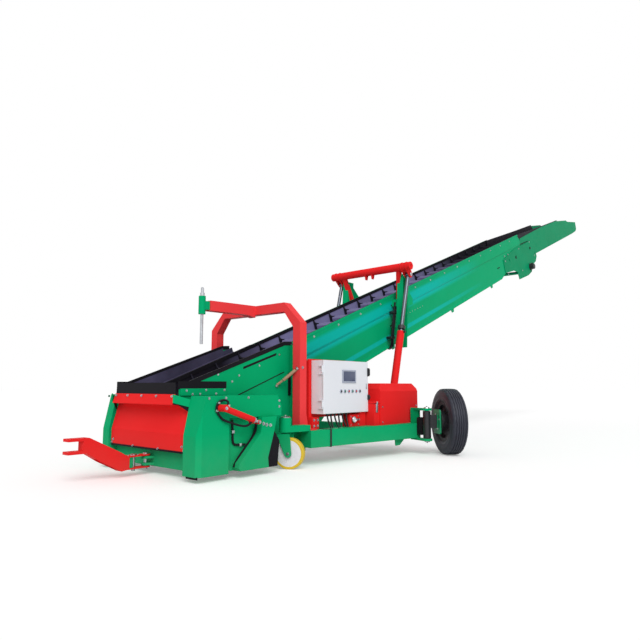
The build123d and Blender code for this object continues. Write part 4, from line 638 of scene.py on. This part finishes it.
# Cabinet cables. Six leads in black moulded sleeves leave the cabinet's floor through plastic glands,
# and hang down to the beam, behind which they run on.
CABINET_LOW = 510
CABLE_DROP = 60
CABLE_Y = (-800, -820)
CABLE_END = BEAM_Z[1] + 6
CABLE_RADIUS = 9.0
cable_table = [(1600, 40), (1660, 10), (1720, 45), (1790, 5), (1850, 40), (1920, 12)]  # station and sag
cable_gland = [(9.6, -2), (19, -2), (19, 10), (15, 14), (15, 22), (9.6, 24)]
cable_sleeve = moulded("black_cable_sleeve", "#1c1c20", "#121215", 0.5)
bm = bmesh.new()
for number, (cable_s, sag) in enumerate(cable_table):
    route = [at(cable_s, CABLE_Y[0], CABINET_LOW), at(cable_s, CABLE_Y[0], CABINET_LOW - CABLE_DROP),
             at(cable_s + sag, CABLE_Y[1], CABLE_END)]
    curve = smooth_line("cabinet_cable_%d" % number, route, 12)
    curve.bevel_depth = CABLE_RADIUS / 1000
    curve.bevel_resolution = 3
    curve.use_fill_caps = True
    curve.materials.append(cable_sleeve)
    cable = bpy.data.objects.new("cabinet_cable_%d" % number, curve)
    bpy.context.collection.objects.link(cable)
    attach(cable, "chassis")
    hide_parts("cabinet_cables")
    turned(bm, route[0], -UP, cable_gland, 12)
put(bm, "cable_glands", black_moulding, "chassis")

# Valve box. A small red steel box on the beam under the cabinet, with a white pressure gauge, knobs and
# plugs on its face.
VALVE_FACE = -826
KNOB_Y = -850
KNOB_Z = 430
gauge_ring = [(26, -1), (34, -1), (34, 20), (30, 24), (26, 20)]
gauge_at = at(2011, VALVE_FACE, 432)
bm = bmesh.new()
block(bm, (1952, 2126), (VALVE_FACE, -720), (354, 486), 5)
put(bm, "valve_box", red_enamel, "chassis")
bm = bmesh.new()
turned(bm, gauge_at, NEAR_OUT, gauge_ring, 28)
for s, z in ((1972, 376), (2106, 376), (1972, 466), (2106, 466)):
    bolt(bm, at(s, VALVE_FACE, z), NEAR_OUT, 9)
for s in (2060, 2092):
    rod(bm, at(s, VALVE_FACE, KNOB_Z), at(s, KNOB_Y, KNOB_Z), 12, 6)
put(bm, "valve_box_fittings", zinc_plate, "chassis")
bm = bmesh.new()
rod(bm, gauge_at + NEAR_OUT * 0.002, gauge_at + NEAR_OUT * 0.017, 27, 28)
rod(bm, gauge_at + NEAR_OUT * 0.016, gauge_at + NEAR_OUT * 0.019, 5, 12, 3)
put(bm, "gauge_dial", white_coat, "chassis")

# Power pack cover and tool box. Folded red sheet over the motor and pump, and a small lidded box beside
# it with a bright toggle latch and a rubber lid seal.
dress(red_enamel, "pack_cover", "tool_box")
PACK_FACE = -950
TOGGLE_PLATE = ((2284, 2318), (-945, -934), (500, 596))
TOGGLE_LEVER = ((2290, 2312), (-952, -943), (530, 622))
LID_SEAL = ((2256, 2354), (-938, -786), (596, 603))
bm = bmesh.new()
for s in (2400, 3120):
    for z in (390, 560):
        bolt(bm, at(s, PACK_FACE, z), NEAR_OUT, 11)
for box in (TOGGLE_PLATE, TOGGLE_LEVER):
    block(bm, *box, 3)
put(bm, "pack_screws", zinc_plate, "chassis")
bm = bmesh.new()
block(bm, *LID_SEAL, 2)
put(bm, "tool_box_seal", black_rubber, "chassis")

# Drawbar and hitch. A red gooseneck folded and welded from plate, with a clevis at its free end. Its two
# fork plates swing on bright pins round the hitch, over a green spacer block that three screws hold.
dress(red_enamel, "drawbar")
dress(green_enamel, "hitch_block")
dress(zinc_plate, "hitch_pins", "lock_pin")
FORK_TOP = 182
bm = bmesh.new()
for s in (-215, -185, -120):
    bolt(bm, at(s, -20, FORK_TOP), UP, 11)
put(bm, "drawbar_screws", zinc_plate, "drawbar")

# Boom. Long pressed side plates with a crease and a return lip, cross tubes and a nose section bolted on
# through head brackets. Bluer bands along the plates' middle are a painted reflection of a bluish light,
# and the nose section and head brackets wear a darker copy of the enamel as painted shade.
BOOM_TAIL = (350, 467)
BOOM_ANGLE = radians(21.3)
along_boom = Vector((cos(BOOM_ANGLE), 0, sin(BOOM_ANGLE)))
over_boom = Vector((-sin(BOOM_ANGLE), 0, cos(BOOM_ANGLE)))
boom_tail = at(BOOM_TAIL[0], 0, BOOM_TAIL[1])


def on_boom(u, w, y):
    """A point from its distance along the boom, its distance square to it and its side offset."""
    return boom_tail + (along_boom * u + over_boom * w) / 1000 + Vector((0, y / 1000, 0))


def boom_share(tree, place, none_m, full_m):
    """A share that grows from none to full between two distances along the boom."""
    reach = add(tree, "VectorMath", {0: place, 1: along_boom}, operation="DOT_PRODUCT")
    start = boom_tail.dot(along_boom)
    return add(tree, "MapRange", {"Value": reach, "From Min": start + none_m, "From Max": start + full_m})


def enamel_with_painted_reflection(name, hex_colour, thin_hex, reflection_hex, bands):
    """The machine's enamel with a bluer painted reflection in bands along the boom, soft at their edges and
    fading out towards the head."""
    FADE_M = (4.6, 6.6)
    CORE_SHARE = 0.6
    material = machine_enamel(name, hex_colour, thin_hex)
    tree, shader, place = parts_of(material)
    fade = boom_share(tree, place, FADE_M[1], FADE_M[0])
    height = add(tree, "VectorMath", {0: place, 1: over_boom}, operation="DOT_PRODUCT")
    for middle, half in bands:
        level = boom_tail.dot(over_boom) + middle / 1000
        away = add(tree, "Math", {0: height, 1: level}, operation="SUBTRACT")
        size = add(tree, "Math", {0: away}, operation="ABSOLUTE")
        share = add(tree, "MapRange", {"Value": size, "From Min": half / 1000,
                                       "From Max": half * CORE_SHARE / 1000})
        overpaint(material, add(tree, "Math", {0: share, 1: fade}, operation="MULTIPLY"), reflection_hex)
    return material


# Bands of painted reflection, bluer where the plates' folds would mirror a bluish light.
REFLECTION_BANDS = [(142, 118), (-212, 36)]  # each band's middle over the tail shaft and half width
reflected_boom_enamel = enamel_with_painted_reflection("green_enamel_painted_reflection", "#03a872", "#009c66", "#06b2a4", REFLECTION_BANDS)
# A darker copy of the green enamel: painted shade on the nose section and head brackets.
shaded_nose_enamel = machine_enamel("shaded_nose_green_enamel", "#029566", "#018355")
dress(reflected_boom_enamel, "boom_sides")
dress(shaded_nose_enamel, "nose_sides", "head_brackets")
dress(green_enamel, "boom_cross")
BOOM_Y = 337
STEP_Y = 325
BRACKET_Y = 335
NOSE_Y = 321
LUG_Y = 330
LUG_MM = 12
top_row = [(328 + 485 * k, 270) for k in range(17)]
joint_row = [(3864 + 76 * k, -38 - 1.6 * k) for k in range(7)]
bracket_screws = [(7720, 40), (7720, -60), (7900, 40), (8520, 40), (9178, 64), (8520, -420), (7760, -330)]
# The bracket plugs are black discs that stand for holes in the head brackets: painted shade in the
# openings.
bracket_hole_shades = [(9173, -67), (8297, -100)]
# Of the edge beads, the first fills a slot in the boom plate and the last runs along the brackets' top
# edges: both are painted shade.
edge_and_shade_beads = [([(7305, -117), (7415, -117)], STEP_Y, 9), ([(3369, -80), (3479, -80)], STEP_Y, 9),
              ([(3480, 186), (3560, 186)], BOOM_Y, 9), ([(7848, 122), (8500, 108), (9130, 94)], NOSE_Y, 8)]
lug_outline = [(-45, -345), (45, -345), (28, -397), (-28, -397)]
bm, rubbers, lugs = bmesh.new(), bmesh.new(), bmesh.new()
for side in HANDS:
    for screws, y, size_mm in ((top_row, BOOM_Y, 14), (joint_row, STEP_Y, 7),
                               (bracket_screws, BRACKET_Y, 15)):
        for u, w in screws:
            bolt(bm, on_boom(u, w, side * y), Vector((0, side, 0)), size_mm)
    for u, w in bracket_hole_shades:
        inner, outer = (on_boom(u, w, side * y) for y in (BRACKET_Y - 2, BRACKET_Y + 5))
        rod(rubbers, inner, outer, 30, 20, 24)
    for line, y, radius_mm in edge_and_shade_beads:
        bent_pipe(rubbers, [on_boom(u, w, side * y) for u, w in line], radius_mm, 8)
    for lug_u in (3328, 5226, 6897):
        plate(lugs, [on_boom(lug_u + u, w, side * LUG_Y) for u, w in lug_outline],
              Vector((0, -side * LUG_MM / 1000, 0)))
put(bm, "boom_screws", zinc_plate, "boom")
put(rubbers, "boom_plugs_and_shade_beads", black_rubber, "boom")
put(lugs, "boom_lugs", reflected_boom_enamel, "boom")

# Belt and liners. A violet-grey rubber belt with moulded flights runs between liners of the same rubber,
# with painted shade that darkens both to near black towards the hopper and the head. Black wings at the
# flights' ends are painted shade in the gaps by the liners, whose tops are capped in rubber and a painted
# strip.
dark_belting = belting("black_belt_rubber", "#1e1d26", "#2c2b38", 0.6)
liner_rubber = belting("violet_grey_liner", "#77749a", "#8784aa", 0.55)
# Painted shade: the liner and belt go near black towards the hopper and the head.
LINER_SHADE_HEX = "#1b1922"
LINER_LIT_RUN_M = ((0.9, 1.7), (5.2, 6.9))  # where the painted shade gives way to the liner's grey, and where it comes back
tree, shader, place = parts_of(liner_rubber)
starts = boom_share(tree, place, *LINER_LIT_RUN_M[0])
stops = boom_share(tree, place, LINER_LIT_RUN_M[1][1], LINER_LIT_RUN_M[1][0])
lit_share = add(tree, "Math", {0: starts, 1: stops}, operation="MULTIPLY")
overpaint(liner_rubber, add(tree, "Math", {0: 1.0, 1: lit_share}, operation="SUBTRACT"), LINER_SHADE_HEX)
dress(dark_belting, "rollers")
dress(liner_rubber, "side_liners", "belt")
FLIGHT_FIRST = 100
FLIGHT_PITCH = 350
FLIGHTS = 24
SHADE_WING_SPAN = (14, 30)  # along the belt from the flight's foot, where its top leans to
LINER_RUN = (4.0, 8576)
HOPPER_END = 1400
# The black wings are painted shade in the gaps between the flights' ends and the liners.
shade_wing_outline = [(322, 160), (322, 306), (309, 306), (305, 270), (293, 252), (268, 245), (232, 244),
                (232, 233), (264, 231), (284, 223), (290, 205), (290, 160)]
bm = bmesh.new()
for side in HANDS:
    for k in range(FLIGHTS):
        root = FLIGHT_FIRST + k * FLIGHT_PITCH + SHADE_WING_SPAN[0]
        plate(bm, [on_boom(root, w, side * y) for y, w in shade_wing_outline],
              along_boom * (SHADE_WING_SPAN[1] - SHADE_WING_SPAN[0]) / 1000)
put(bm, "flight_end_shades", dark_belting, "boom")
for name, material, slot, (inner, outer), (low, high), (first, last) in (
        ("belt_edge_seals", liner_rubber, "black_rubber", (268, 326), (141, 147), LINER_RUN),
        ("liner_caps", black_rubber, "black_rubber", (317, 326), (286, 327), LINER_RUN),
        ("hopper_caps", black_rubber, "black_rubber", (325, 342), (292, 329), (LINER_RUN[0], HOPPER_END)),
        ("liner_strips", reflected_boom_enamel, "green_paint", (331, 339), (297, 326), (HOPPER_END, LINER_RUN[1]))):
    corners = ((inner, low), (outer, low), (outer, high), (inner, high))
    bm = bmesh.new()
    for side in HANDS:
        plate(bm, [on_boom(first, w, side * y) for y, w in corners], along_boom * (last - first) / 1000)
    put(bm, name, material, "boom")

# Head drive. Cast hydraulic motors in black paint on the head brackets, each with a flange, an end cap,
# port stubs and screws.
SAND_MM = 12  # the real sand skin is about 1 mm, too fine to show
MOTOR = (8990, -440)
PORT_Y = 385
PORT_HALF = 24
FLANGE_SCREW_Y = 353
FLANGE_SCREW_RADIUS = 64
FLANGE_SCREW_TURN = 0.79
flange_profile = [(55, 2), (72, 2), (72, 14), (62, 18), (55, 18)]
cap_profile = [(56.5, 40), (61, 42), (61, 52), (56.5, 54)]
# Painted casting: the sand's pimples show through thin black paint, which keeps a dull shine.
cast_iron = mottled("black_painted_casting", SAND_MM, "#131316", "#26262b", 3.0, 0.5)
grain(cast_iron, SAND_MM, 0.25, 2.0, detail=3.0)
dress(cast_iron, "head_motors")
bm = bmesh.new()
for side in HANDS:
    outward = Vector((0, side, 0))
    for profile in (flange_profile, cap_profile):
        turned(bm, on_boom(*MOTOR, side * BRACKET_Y), outward, profile, 28)
    for u in (MOTOR[0] - PORT_HALF, MOTOR[0] + PORT_HALF):
        rod(bm, on_boom(u, MOTOR[1] + 45, side * PORT_Y), on_boom(u, MOTOR[1] + 78, side * PORT_Y), 15, 8)
    for k in range(4):
        turn = FLANGE_SCREW_TURN + k * pi / 2
        spot = [middle + FLANGE_SCREW_RADIUS * way(turn) for middle, way in zip(MOTOR, (cos, sin))]
        bolt(bm, on_boom(*spot, side * FLANGE_SCREW_Y), outward, 8)
put(bm, "motor_fittings", cast_iron, "boom")


# Lift crossbar. Green channel uprights on the boom carry a red round bar on spread square legs, with
# flame-cut lugs for the cylinders welded near its ends and two hangers at its middle.
def hull_of(rounds):
    """The outline round some discs, each given by its centre and radius in a plane."""
    dots = [(a + r * cos(k * pi / 12), b + r * sin(k * pi / 12)) for a, b, r in rounds for k in range(24)]
    return [dots[i] for i in convex_hull_2d(dots)]


dress(green_enamel, "uprights")
BAR = (3506, 2418)
LIFT_EYE = (3592, 2318)
LUG_FACES = (541, 623)
EAR_RADII = (61, 44)  # round the bar and round the eye
EAR_MM = 10
LEG_FOOT = (3632, 404, 2000)
LEG_TOP = (3516, 482, 2410)
LEG_MM = 58
HANGERS_Y = (-52, 58)
HANGER_MM = 12
hanger = [(-45, -30), (-20, -110), (20, -110), (45, -30)]
half_bar = [(55, 680), (51, 684), (20, 684), (16, 678)]
bm = bmesh.new()
turned(bm, at(BAR[0], 0, BAR[1]), NEAR_OUT, [(r, -a) for r, a in reversed(half_bar)] + half_bar, 32)
ear = hull_of([(*BAR, EAR_RADII[0]), (*LIFT_EYE, EAR_RADII[1])])
for side in HANDS:
    for y in (LUG_FACES[0], LUG_FACES[1] - EAR_MM):
        plate(bm, [at(s, side * y, z) for s, z in ear], Vector((0, side * EAR_MM / 1000, 0)))
    foot, top = (at(s, side * y, z) for s, y, z in (LEG_FOOT, LEG_TOP))
    corners = [foot + Vector((a, b, 0)) * LEG_MM / 2000 for a, b in ((-1, -1), (1, -1), (1, 1), (-1, 1))]
    plate(bm, corners, top - foot)
for y in HANGERS_Y:
    plate(bm, [at(BAR[0] + s, y, BAR[1] + z) for s, z in hanger], Vector((0, HANGER_MM / 1000, 0)))
yoke = put(bm, "lift_yoke", red_enamel, "boom")
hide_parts("lift_crossbar")

# Upright pipes. Two sleeved steel oil pipes come down in front of each upright and turn in under the
# belt, held by black plastic clamps.
PIPE_GAP_HALF = 16
DROP_RADIUS = 13
CLAMP_OUTER = 412
drop_pipe = [(3556, 1945, 395), (3528, 1800, 395), (3504, 1680, 395), (3479, 1556, 395), (3455, 1420, 395),
             (3468, 1340, 385), (3510, 1312, 330), (3530, 1306, 290)]
bm, fittings = bmesh.new(), bmesh.new()
for side in HANDS:
    for shift in (-PIPE_GAP_HALF, PIPE_GAP_HALF):
        bent_pipe(bm, [at(s + shift, side * y, z) for s, z, y in drop_pipe], DROP_RADIUS)
    for s, z, seat_y in ((3528, 1800, 334), (3460, 1450, 323)):
        block(fittings, (s - 44, s + 44), (seat_y, CLAMP_OUTER), (z - 16, z + 16), 5, side)
put(bm, "upright_pipes", sleeve_rubber, "boom")
put(fittings, "upright_clamps", black_moulding, "boom")

# Lift cylinders. Hydraulic cylinders between the rear cross member and the crossbar's lugs: red barrels
# with black glands and ports, and dark hard-chromed rods, on headed pins with bright caps.
hard_chrome = plated_steel("hard_chrome", "#6b7078", "#4d5158", 0.29, 200)
dress(red_enamel, "lift_barrel_near", "lift_barrel_far")
dress(hard_chrome, "lift_rod_near", "lift_rod_far")
LIFT_FOOT = (3090, 387)
LIFT_Y = 582
BARREL_END = 1233
PORTS_ALONG_M = (0.13, 1.16)
PORT_REACH_M = (0.044, 0.070)
PIN_CAP_M = 0.012
lift_run = Vector((LIFT_EYE[0] - LIFT_FOOT[0], 0, LIFT_EYE[1] - LIFT_FOOT[1])).normalized()
pin_cap = [(2, 0), (25, 0), (25, 9), (21, 13), (2, 13)]
lift_gland = [(27.5, -1), (50, -30), (50, 12), (44, 20), (27.5, 20)]
foot_band = [(48.2, 96), (52, 98), (52, 122), (48.2, 124)]
pins = {"boom": bmesh.new(), "chassis": bmesh.new()}
for side, hand in HANDS.items():
    for (s, z), body in ((LIFT_EYE, "boom"), (LIFT_FOOT, "chassis")):
        for y, facing in zip(LUG_FACES, (Vector((0, -side, 0)), Vector((0, side, 0)))):
            seat = at(s, side * y, z)
            turned(pins[body], seat, facing, pin_cap, 20)
            bolt(pins[body], seat + facing * PIN_CAP_M, facing, 11)
    foot = at(LIFT_FOOT[0], side * LIFT_Y, LIFT_FOOT[1])
    bm = bmesh.new()
    turned(bm, foot + lift_run * BARREL_END / 1000, lift_run, lift_gland, 28)
    turned(bm, foot, lift_run, foot_band, 28)
    for along in PORTS_ALONG_M:
        inner, outer = (foot + lift_run * along + Vector((0, side * reach, 0)) for reach in PORT_REACH_M)
        rod(bm, inner, outer, 15, 8)
    put(bm, "lift_gland_" + hand, cast_iron, "lift_barrel_" + hand)
for body, bm in pins.items():
    put(bm, "lift_pins_" + body, zinc_plate, body)


# Knuckles. Black iron castings that turn on the kingpins, each with a green flange plate that four
# screws hold to its face.
KING_ANGLE = radians(40.75)
WHEEL_OFFSET = 269
AXLE_HEIGHT = 382.5
FLANGE_SPAN = (112, 142)  # along the axle from the kingpin
FLANGE_GREEN = "#06915f"
SCREW_TURN = 0.6
SCREW_CIRCLE_M = 0.085
SCREW_SEAT_M = 0.149


def wheel_frame(side):
    """A rear wheel's centre, the way its axle points outwards, and two ways square to the axle."""
    axle = Vector((cos(KING_ANGLE), side * sin(KING_ANGLE), 0))
    centre = at(KINGPIN[0], side * KINGPIN[1], AXLE_HEIGHT) + axle * WHEEL_OFFSET / 1000
    up = axle.orthogonal().normalized()
    return centre, axle, up, axle.cross(up)


# Cast knuckle: sand-rough black with a dull shine, and flat green paint on the flange alone.
knuckle_paint = mottled("cast_knuckle_with_green_flange", SAND_MM, "#151519", "#2a2a2f", 3.0, 0.45)
grain(knuckle_paint, SAND_MM, 0.2, 2.0, detail=3.0)
tree, shader, place = parts_of(knuckle_paint)
axes = add(tree, "SeparateXYZ", {"Vector": place})
beside = add(tree, "Math", {0: axes.outputs["Y"]}, operation="ABSOLUTE")
folded = add(tree, "CombineXYZ", {"X": axes.outputs["X"], "Y": beside})
far_axle = wheel_frame(1)[1]
along = add(tree, "VectorMath", {0: folded, 1: far_axle}, operation="DOT_PRODUCT")
start = at(*KINGPIN, 0).dot(far_axle)
past, short = (add(tree, "Math", {0: along, 1: start + edge / 1000}, operation=test)
               for edge, test in zip(FLANGE_SPAN, ("GREATER_THAN", "LESS_THAN")))
on_flange = add(tree, "Math", {0: past, 1: short}, operation="MULTIPLY")
overpaint(knuckle_paint, on_flange, FLANGE_GREEN)
dress(knuckle_paint, "knuckle_near", "knuckle_far")
for side, hand in HANDS.items():
    centre, axle, up, across = wheel_frame(side)
    bm = bmesh.new()
    for k in range(4):
        turn = SCREW_TURN + k * pi / 2
        spoke = up * cos(turn) + across * sin(turn)
        bolt(bm, centre + spoke * SCREW_CIRCLE_M - axle * SCREW_SEAT_M, -axle, 13)
    put(bm, "flange_screws_" + hand, zinc_plate, "knuckle_" + hand)

# Rear wheels. Steel rims in grey enamel, each held by eight nuts to a finned iron drum, with implement
# tyres: moulded rubber with a ribbed, siped tread on a plain sidewall.
rim_paint = machine_enamel("grey_rim_enamel", "#4a484e", "#37363b")
dress(rim_paint, "rim_near", "rim_far")
tyre_rubber = belting("tyre_rubber", "#26272f", "#3b3d49", 0.5, 90)
tree, shader, place = parts_of(tyre_rubber)
feed(tree, shader, {"Specular IOR Level": 0.25})
TYRE_STEPS = 120
GROOVE_DEPTH = 9.0
TREAD_FLOOR_M = 0.365
SHOULDER_TOP_M = 0.380
RIBS_HALF_M = 0.062
SHOULDER_HALF_M = 0.070
RIB_WAVE_M = 0.0022
SIPE_M = 0.007
NUT_CIRCLE_M = 0.125
NUT_SEAT_M = 0.034
half_profile = [(217, -66), (234, -66.5), (237, -80), (246, -87), (262, -92), (266, -93.5), (270, -92.5),
                (300, -96.5), (325, -97), (330, -95.5), (345, -93.5), (360, -90), (371, -84), (379, -76),
                (380.5, -60), (381 - GROOVE_DEPTH, -58), (381 - GROOVE_DEPTH, -51), (381.5, -49),
                (382.2, -31), (382.2 - GROOVE_DEPTH, -29), (382.2 - GROOVE_DEPTH, -22), (382.4, -20),
                (382.5, -5), (382.5 - GROOVE_DEPTH, -3.5)]
tyre_profile = half_profile + [(r, -a) for r, a in reversed(half_profile)]
drum_profile = [(32, -127), (118, -127), (126, -122), (126, -112), (120, -110), (120, -104), (128, -102),
                (128, -96), (120, -94), (120, -88), (128, -86), (128, -80), (112, -73), (32, -73)]
hub_cap = [(2, 60), (52, 60), (52, 66), (40, 74), (2, 76)]
for side, hand in HANDS.items():
    centre, axle, up, across = wheel_frame(side)
    bm = bmesh.new()
    turned(bm, centre, axle, tyre_profile, TYRE_STEPS)
    for v in bm.verts:
        arm = v.co - centre
        lateral = arm.dot(axle)
        radial = arm - axle * lateral
        step = round(atan2(radial.dot(across), radial.dot(up)) / (2 * pi) * TYRE_STEPS) % 4
        if radial.length > TREAD_FLOOR_M and abs(lateral) < RIBS_HALF_M:
            v.co += axle * (RIB_WAVE_M if step < 2 else -RIB_WAVE_M)
        if TREAD_FLOOR_M < radial.length < SHOULDER_TOP_M and abs(lateral) > SHOULDER_HALF_M and step == 0:
            v.co -= radial.normalized() * SIPE_M
    tyre = put(bm, "tyre_tread_" + hand, tyre_rubber, "wheel_" + hand, 28)
    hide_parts("tyre_" + hand)
    bm = bmesh.new()
    turned(bm, centre, axle, drum_profile, 40)
    put(bm, "wheel_drum_" + hand, cast_iron, "wheel_" + hand)
    bm = bmesh.new()
    for k in range(8):
        spoke = up * cos(k * pi / 4) + across * sin(k * pi / 4)
        bolt(bm, centre + spoke * NUT_CIRCLE_M + axle * NUT_SEAT_M, axle, 17)
    turned(bm, centre, axle, hub_cap, 28)
    put(bm, "wheel_nuts_" + hand, zinc_plate, "wheel_" + hand)


# Casters. Green welded forks on swivel stems carry spoked cast alloy cores with yellow urethane treads
# cast on, each on a bright axle bolt. A cap closes each stem tube on the side beam.
dress(green_enamel, "caster_fork_near", "caster_fork_far")
# Cast urethane: smooth and slightly waxy, cloudier and scuffed where it rolls.
urethane = mottled("yellow_cast_urethane", 25, "#d2ae22", "#e6c52c", 5.0, 0.4, 0.1)
# Sand-cast alloy: a pale, slightly uneven grey with a dull, even sheen.
pale_alloy = mottled("sand_cast_alloy", 30, "#d3d0d6", "#f0eef2", 5.0, 0.5)
dress(urethane, "caster_tread_near", "caster_tread_far")
dress(pale_alloy, "caster_core_near", "caster_core_far")
CASTER_STEM = (1042, 736)
CASTER_TRAIL = 45
CASTER_HEADING = radians(116)
CASTER_AXLE_Z = 150
FORK_FACE = 56
CHEEK_MM = 6.0
WEB_SEAT = 30
WEB_MM = 7.0
WEB_RADII = (40, 107)
WEBS = 5
STEM_TOP_M = 0.504
cheek = hull_of([(0, 0, 36), (CASTER_TRAIL - 56, 172, 10), (CASTER_TRAIL + 56, 172, 10)])
stem_cap = [(2, 490), (52, 490), (52, 496), (34, 504), (2, 506)]
for side, hand in HANDS.items():
    roll = Vector((cos(CASTER_HEADING), -side * sin(CASTER_HEADING), 0))
    axle = Vector((roll.y, -roll.x, 0))
    stem = at(CASTER_STEM[0], side * CASTER_STEM[1], 0)
    hub = stem - roll * CASTER_TRAIL / 1000 + UP * CASTER_AXLE_Z / 1000
    bolts, cheeks, webs = bmesh.new(), bmesh.new(), bmesh.new()
    for facing in (-axle, axle):
        bolt(bolts, hub + facing * (FORK_FACE + CHEEK_MM) / 1000, facing, 17)
        root = hub + facing * (FORK_FACE - 1) / 1000
        plate(cheeks, [root + (roll * a + UP * b) / 1000 for a, b in cheek], facing * (CHEEK_MM + 1) / 1000)
        root = hub + facing * WEB_SEAT / 1000
        for k in range(WEBS):
            turns = [(k + 0.5) * 2 * pi / WEBS + radians(step) for step in range(-33, 34, 11)]
            outline = [(r * cos(t), r * sin(t)) for r, way in zip(WEB_RADII, (1, -1)) for t in turns[::way]]
            plate(webs, [root + (roll * a + UP * b) / 1000 for a, b in outline], facing * WEB_MM / 1000)
    put(bolts, "caster_axle_" + hand, zinc_plate, "caster_" + hand)
    put(cheeks, "caster_cheeks_" + hand, green_enamel, "caster_" + hand)
    put(webs, "caster_webs_" + hand, pale_alloy, "caster_wheel_" + hand)
    bm = bmesh.new()
    turned(bm, stem, UP, stem_cap, 28)
    bolt(bm, stem + UP * STEM_TOP_M, UP, 14)
    put(bm, "caster_cap_" + hand, zinc_plate, "chassis")
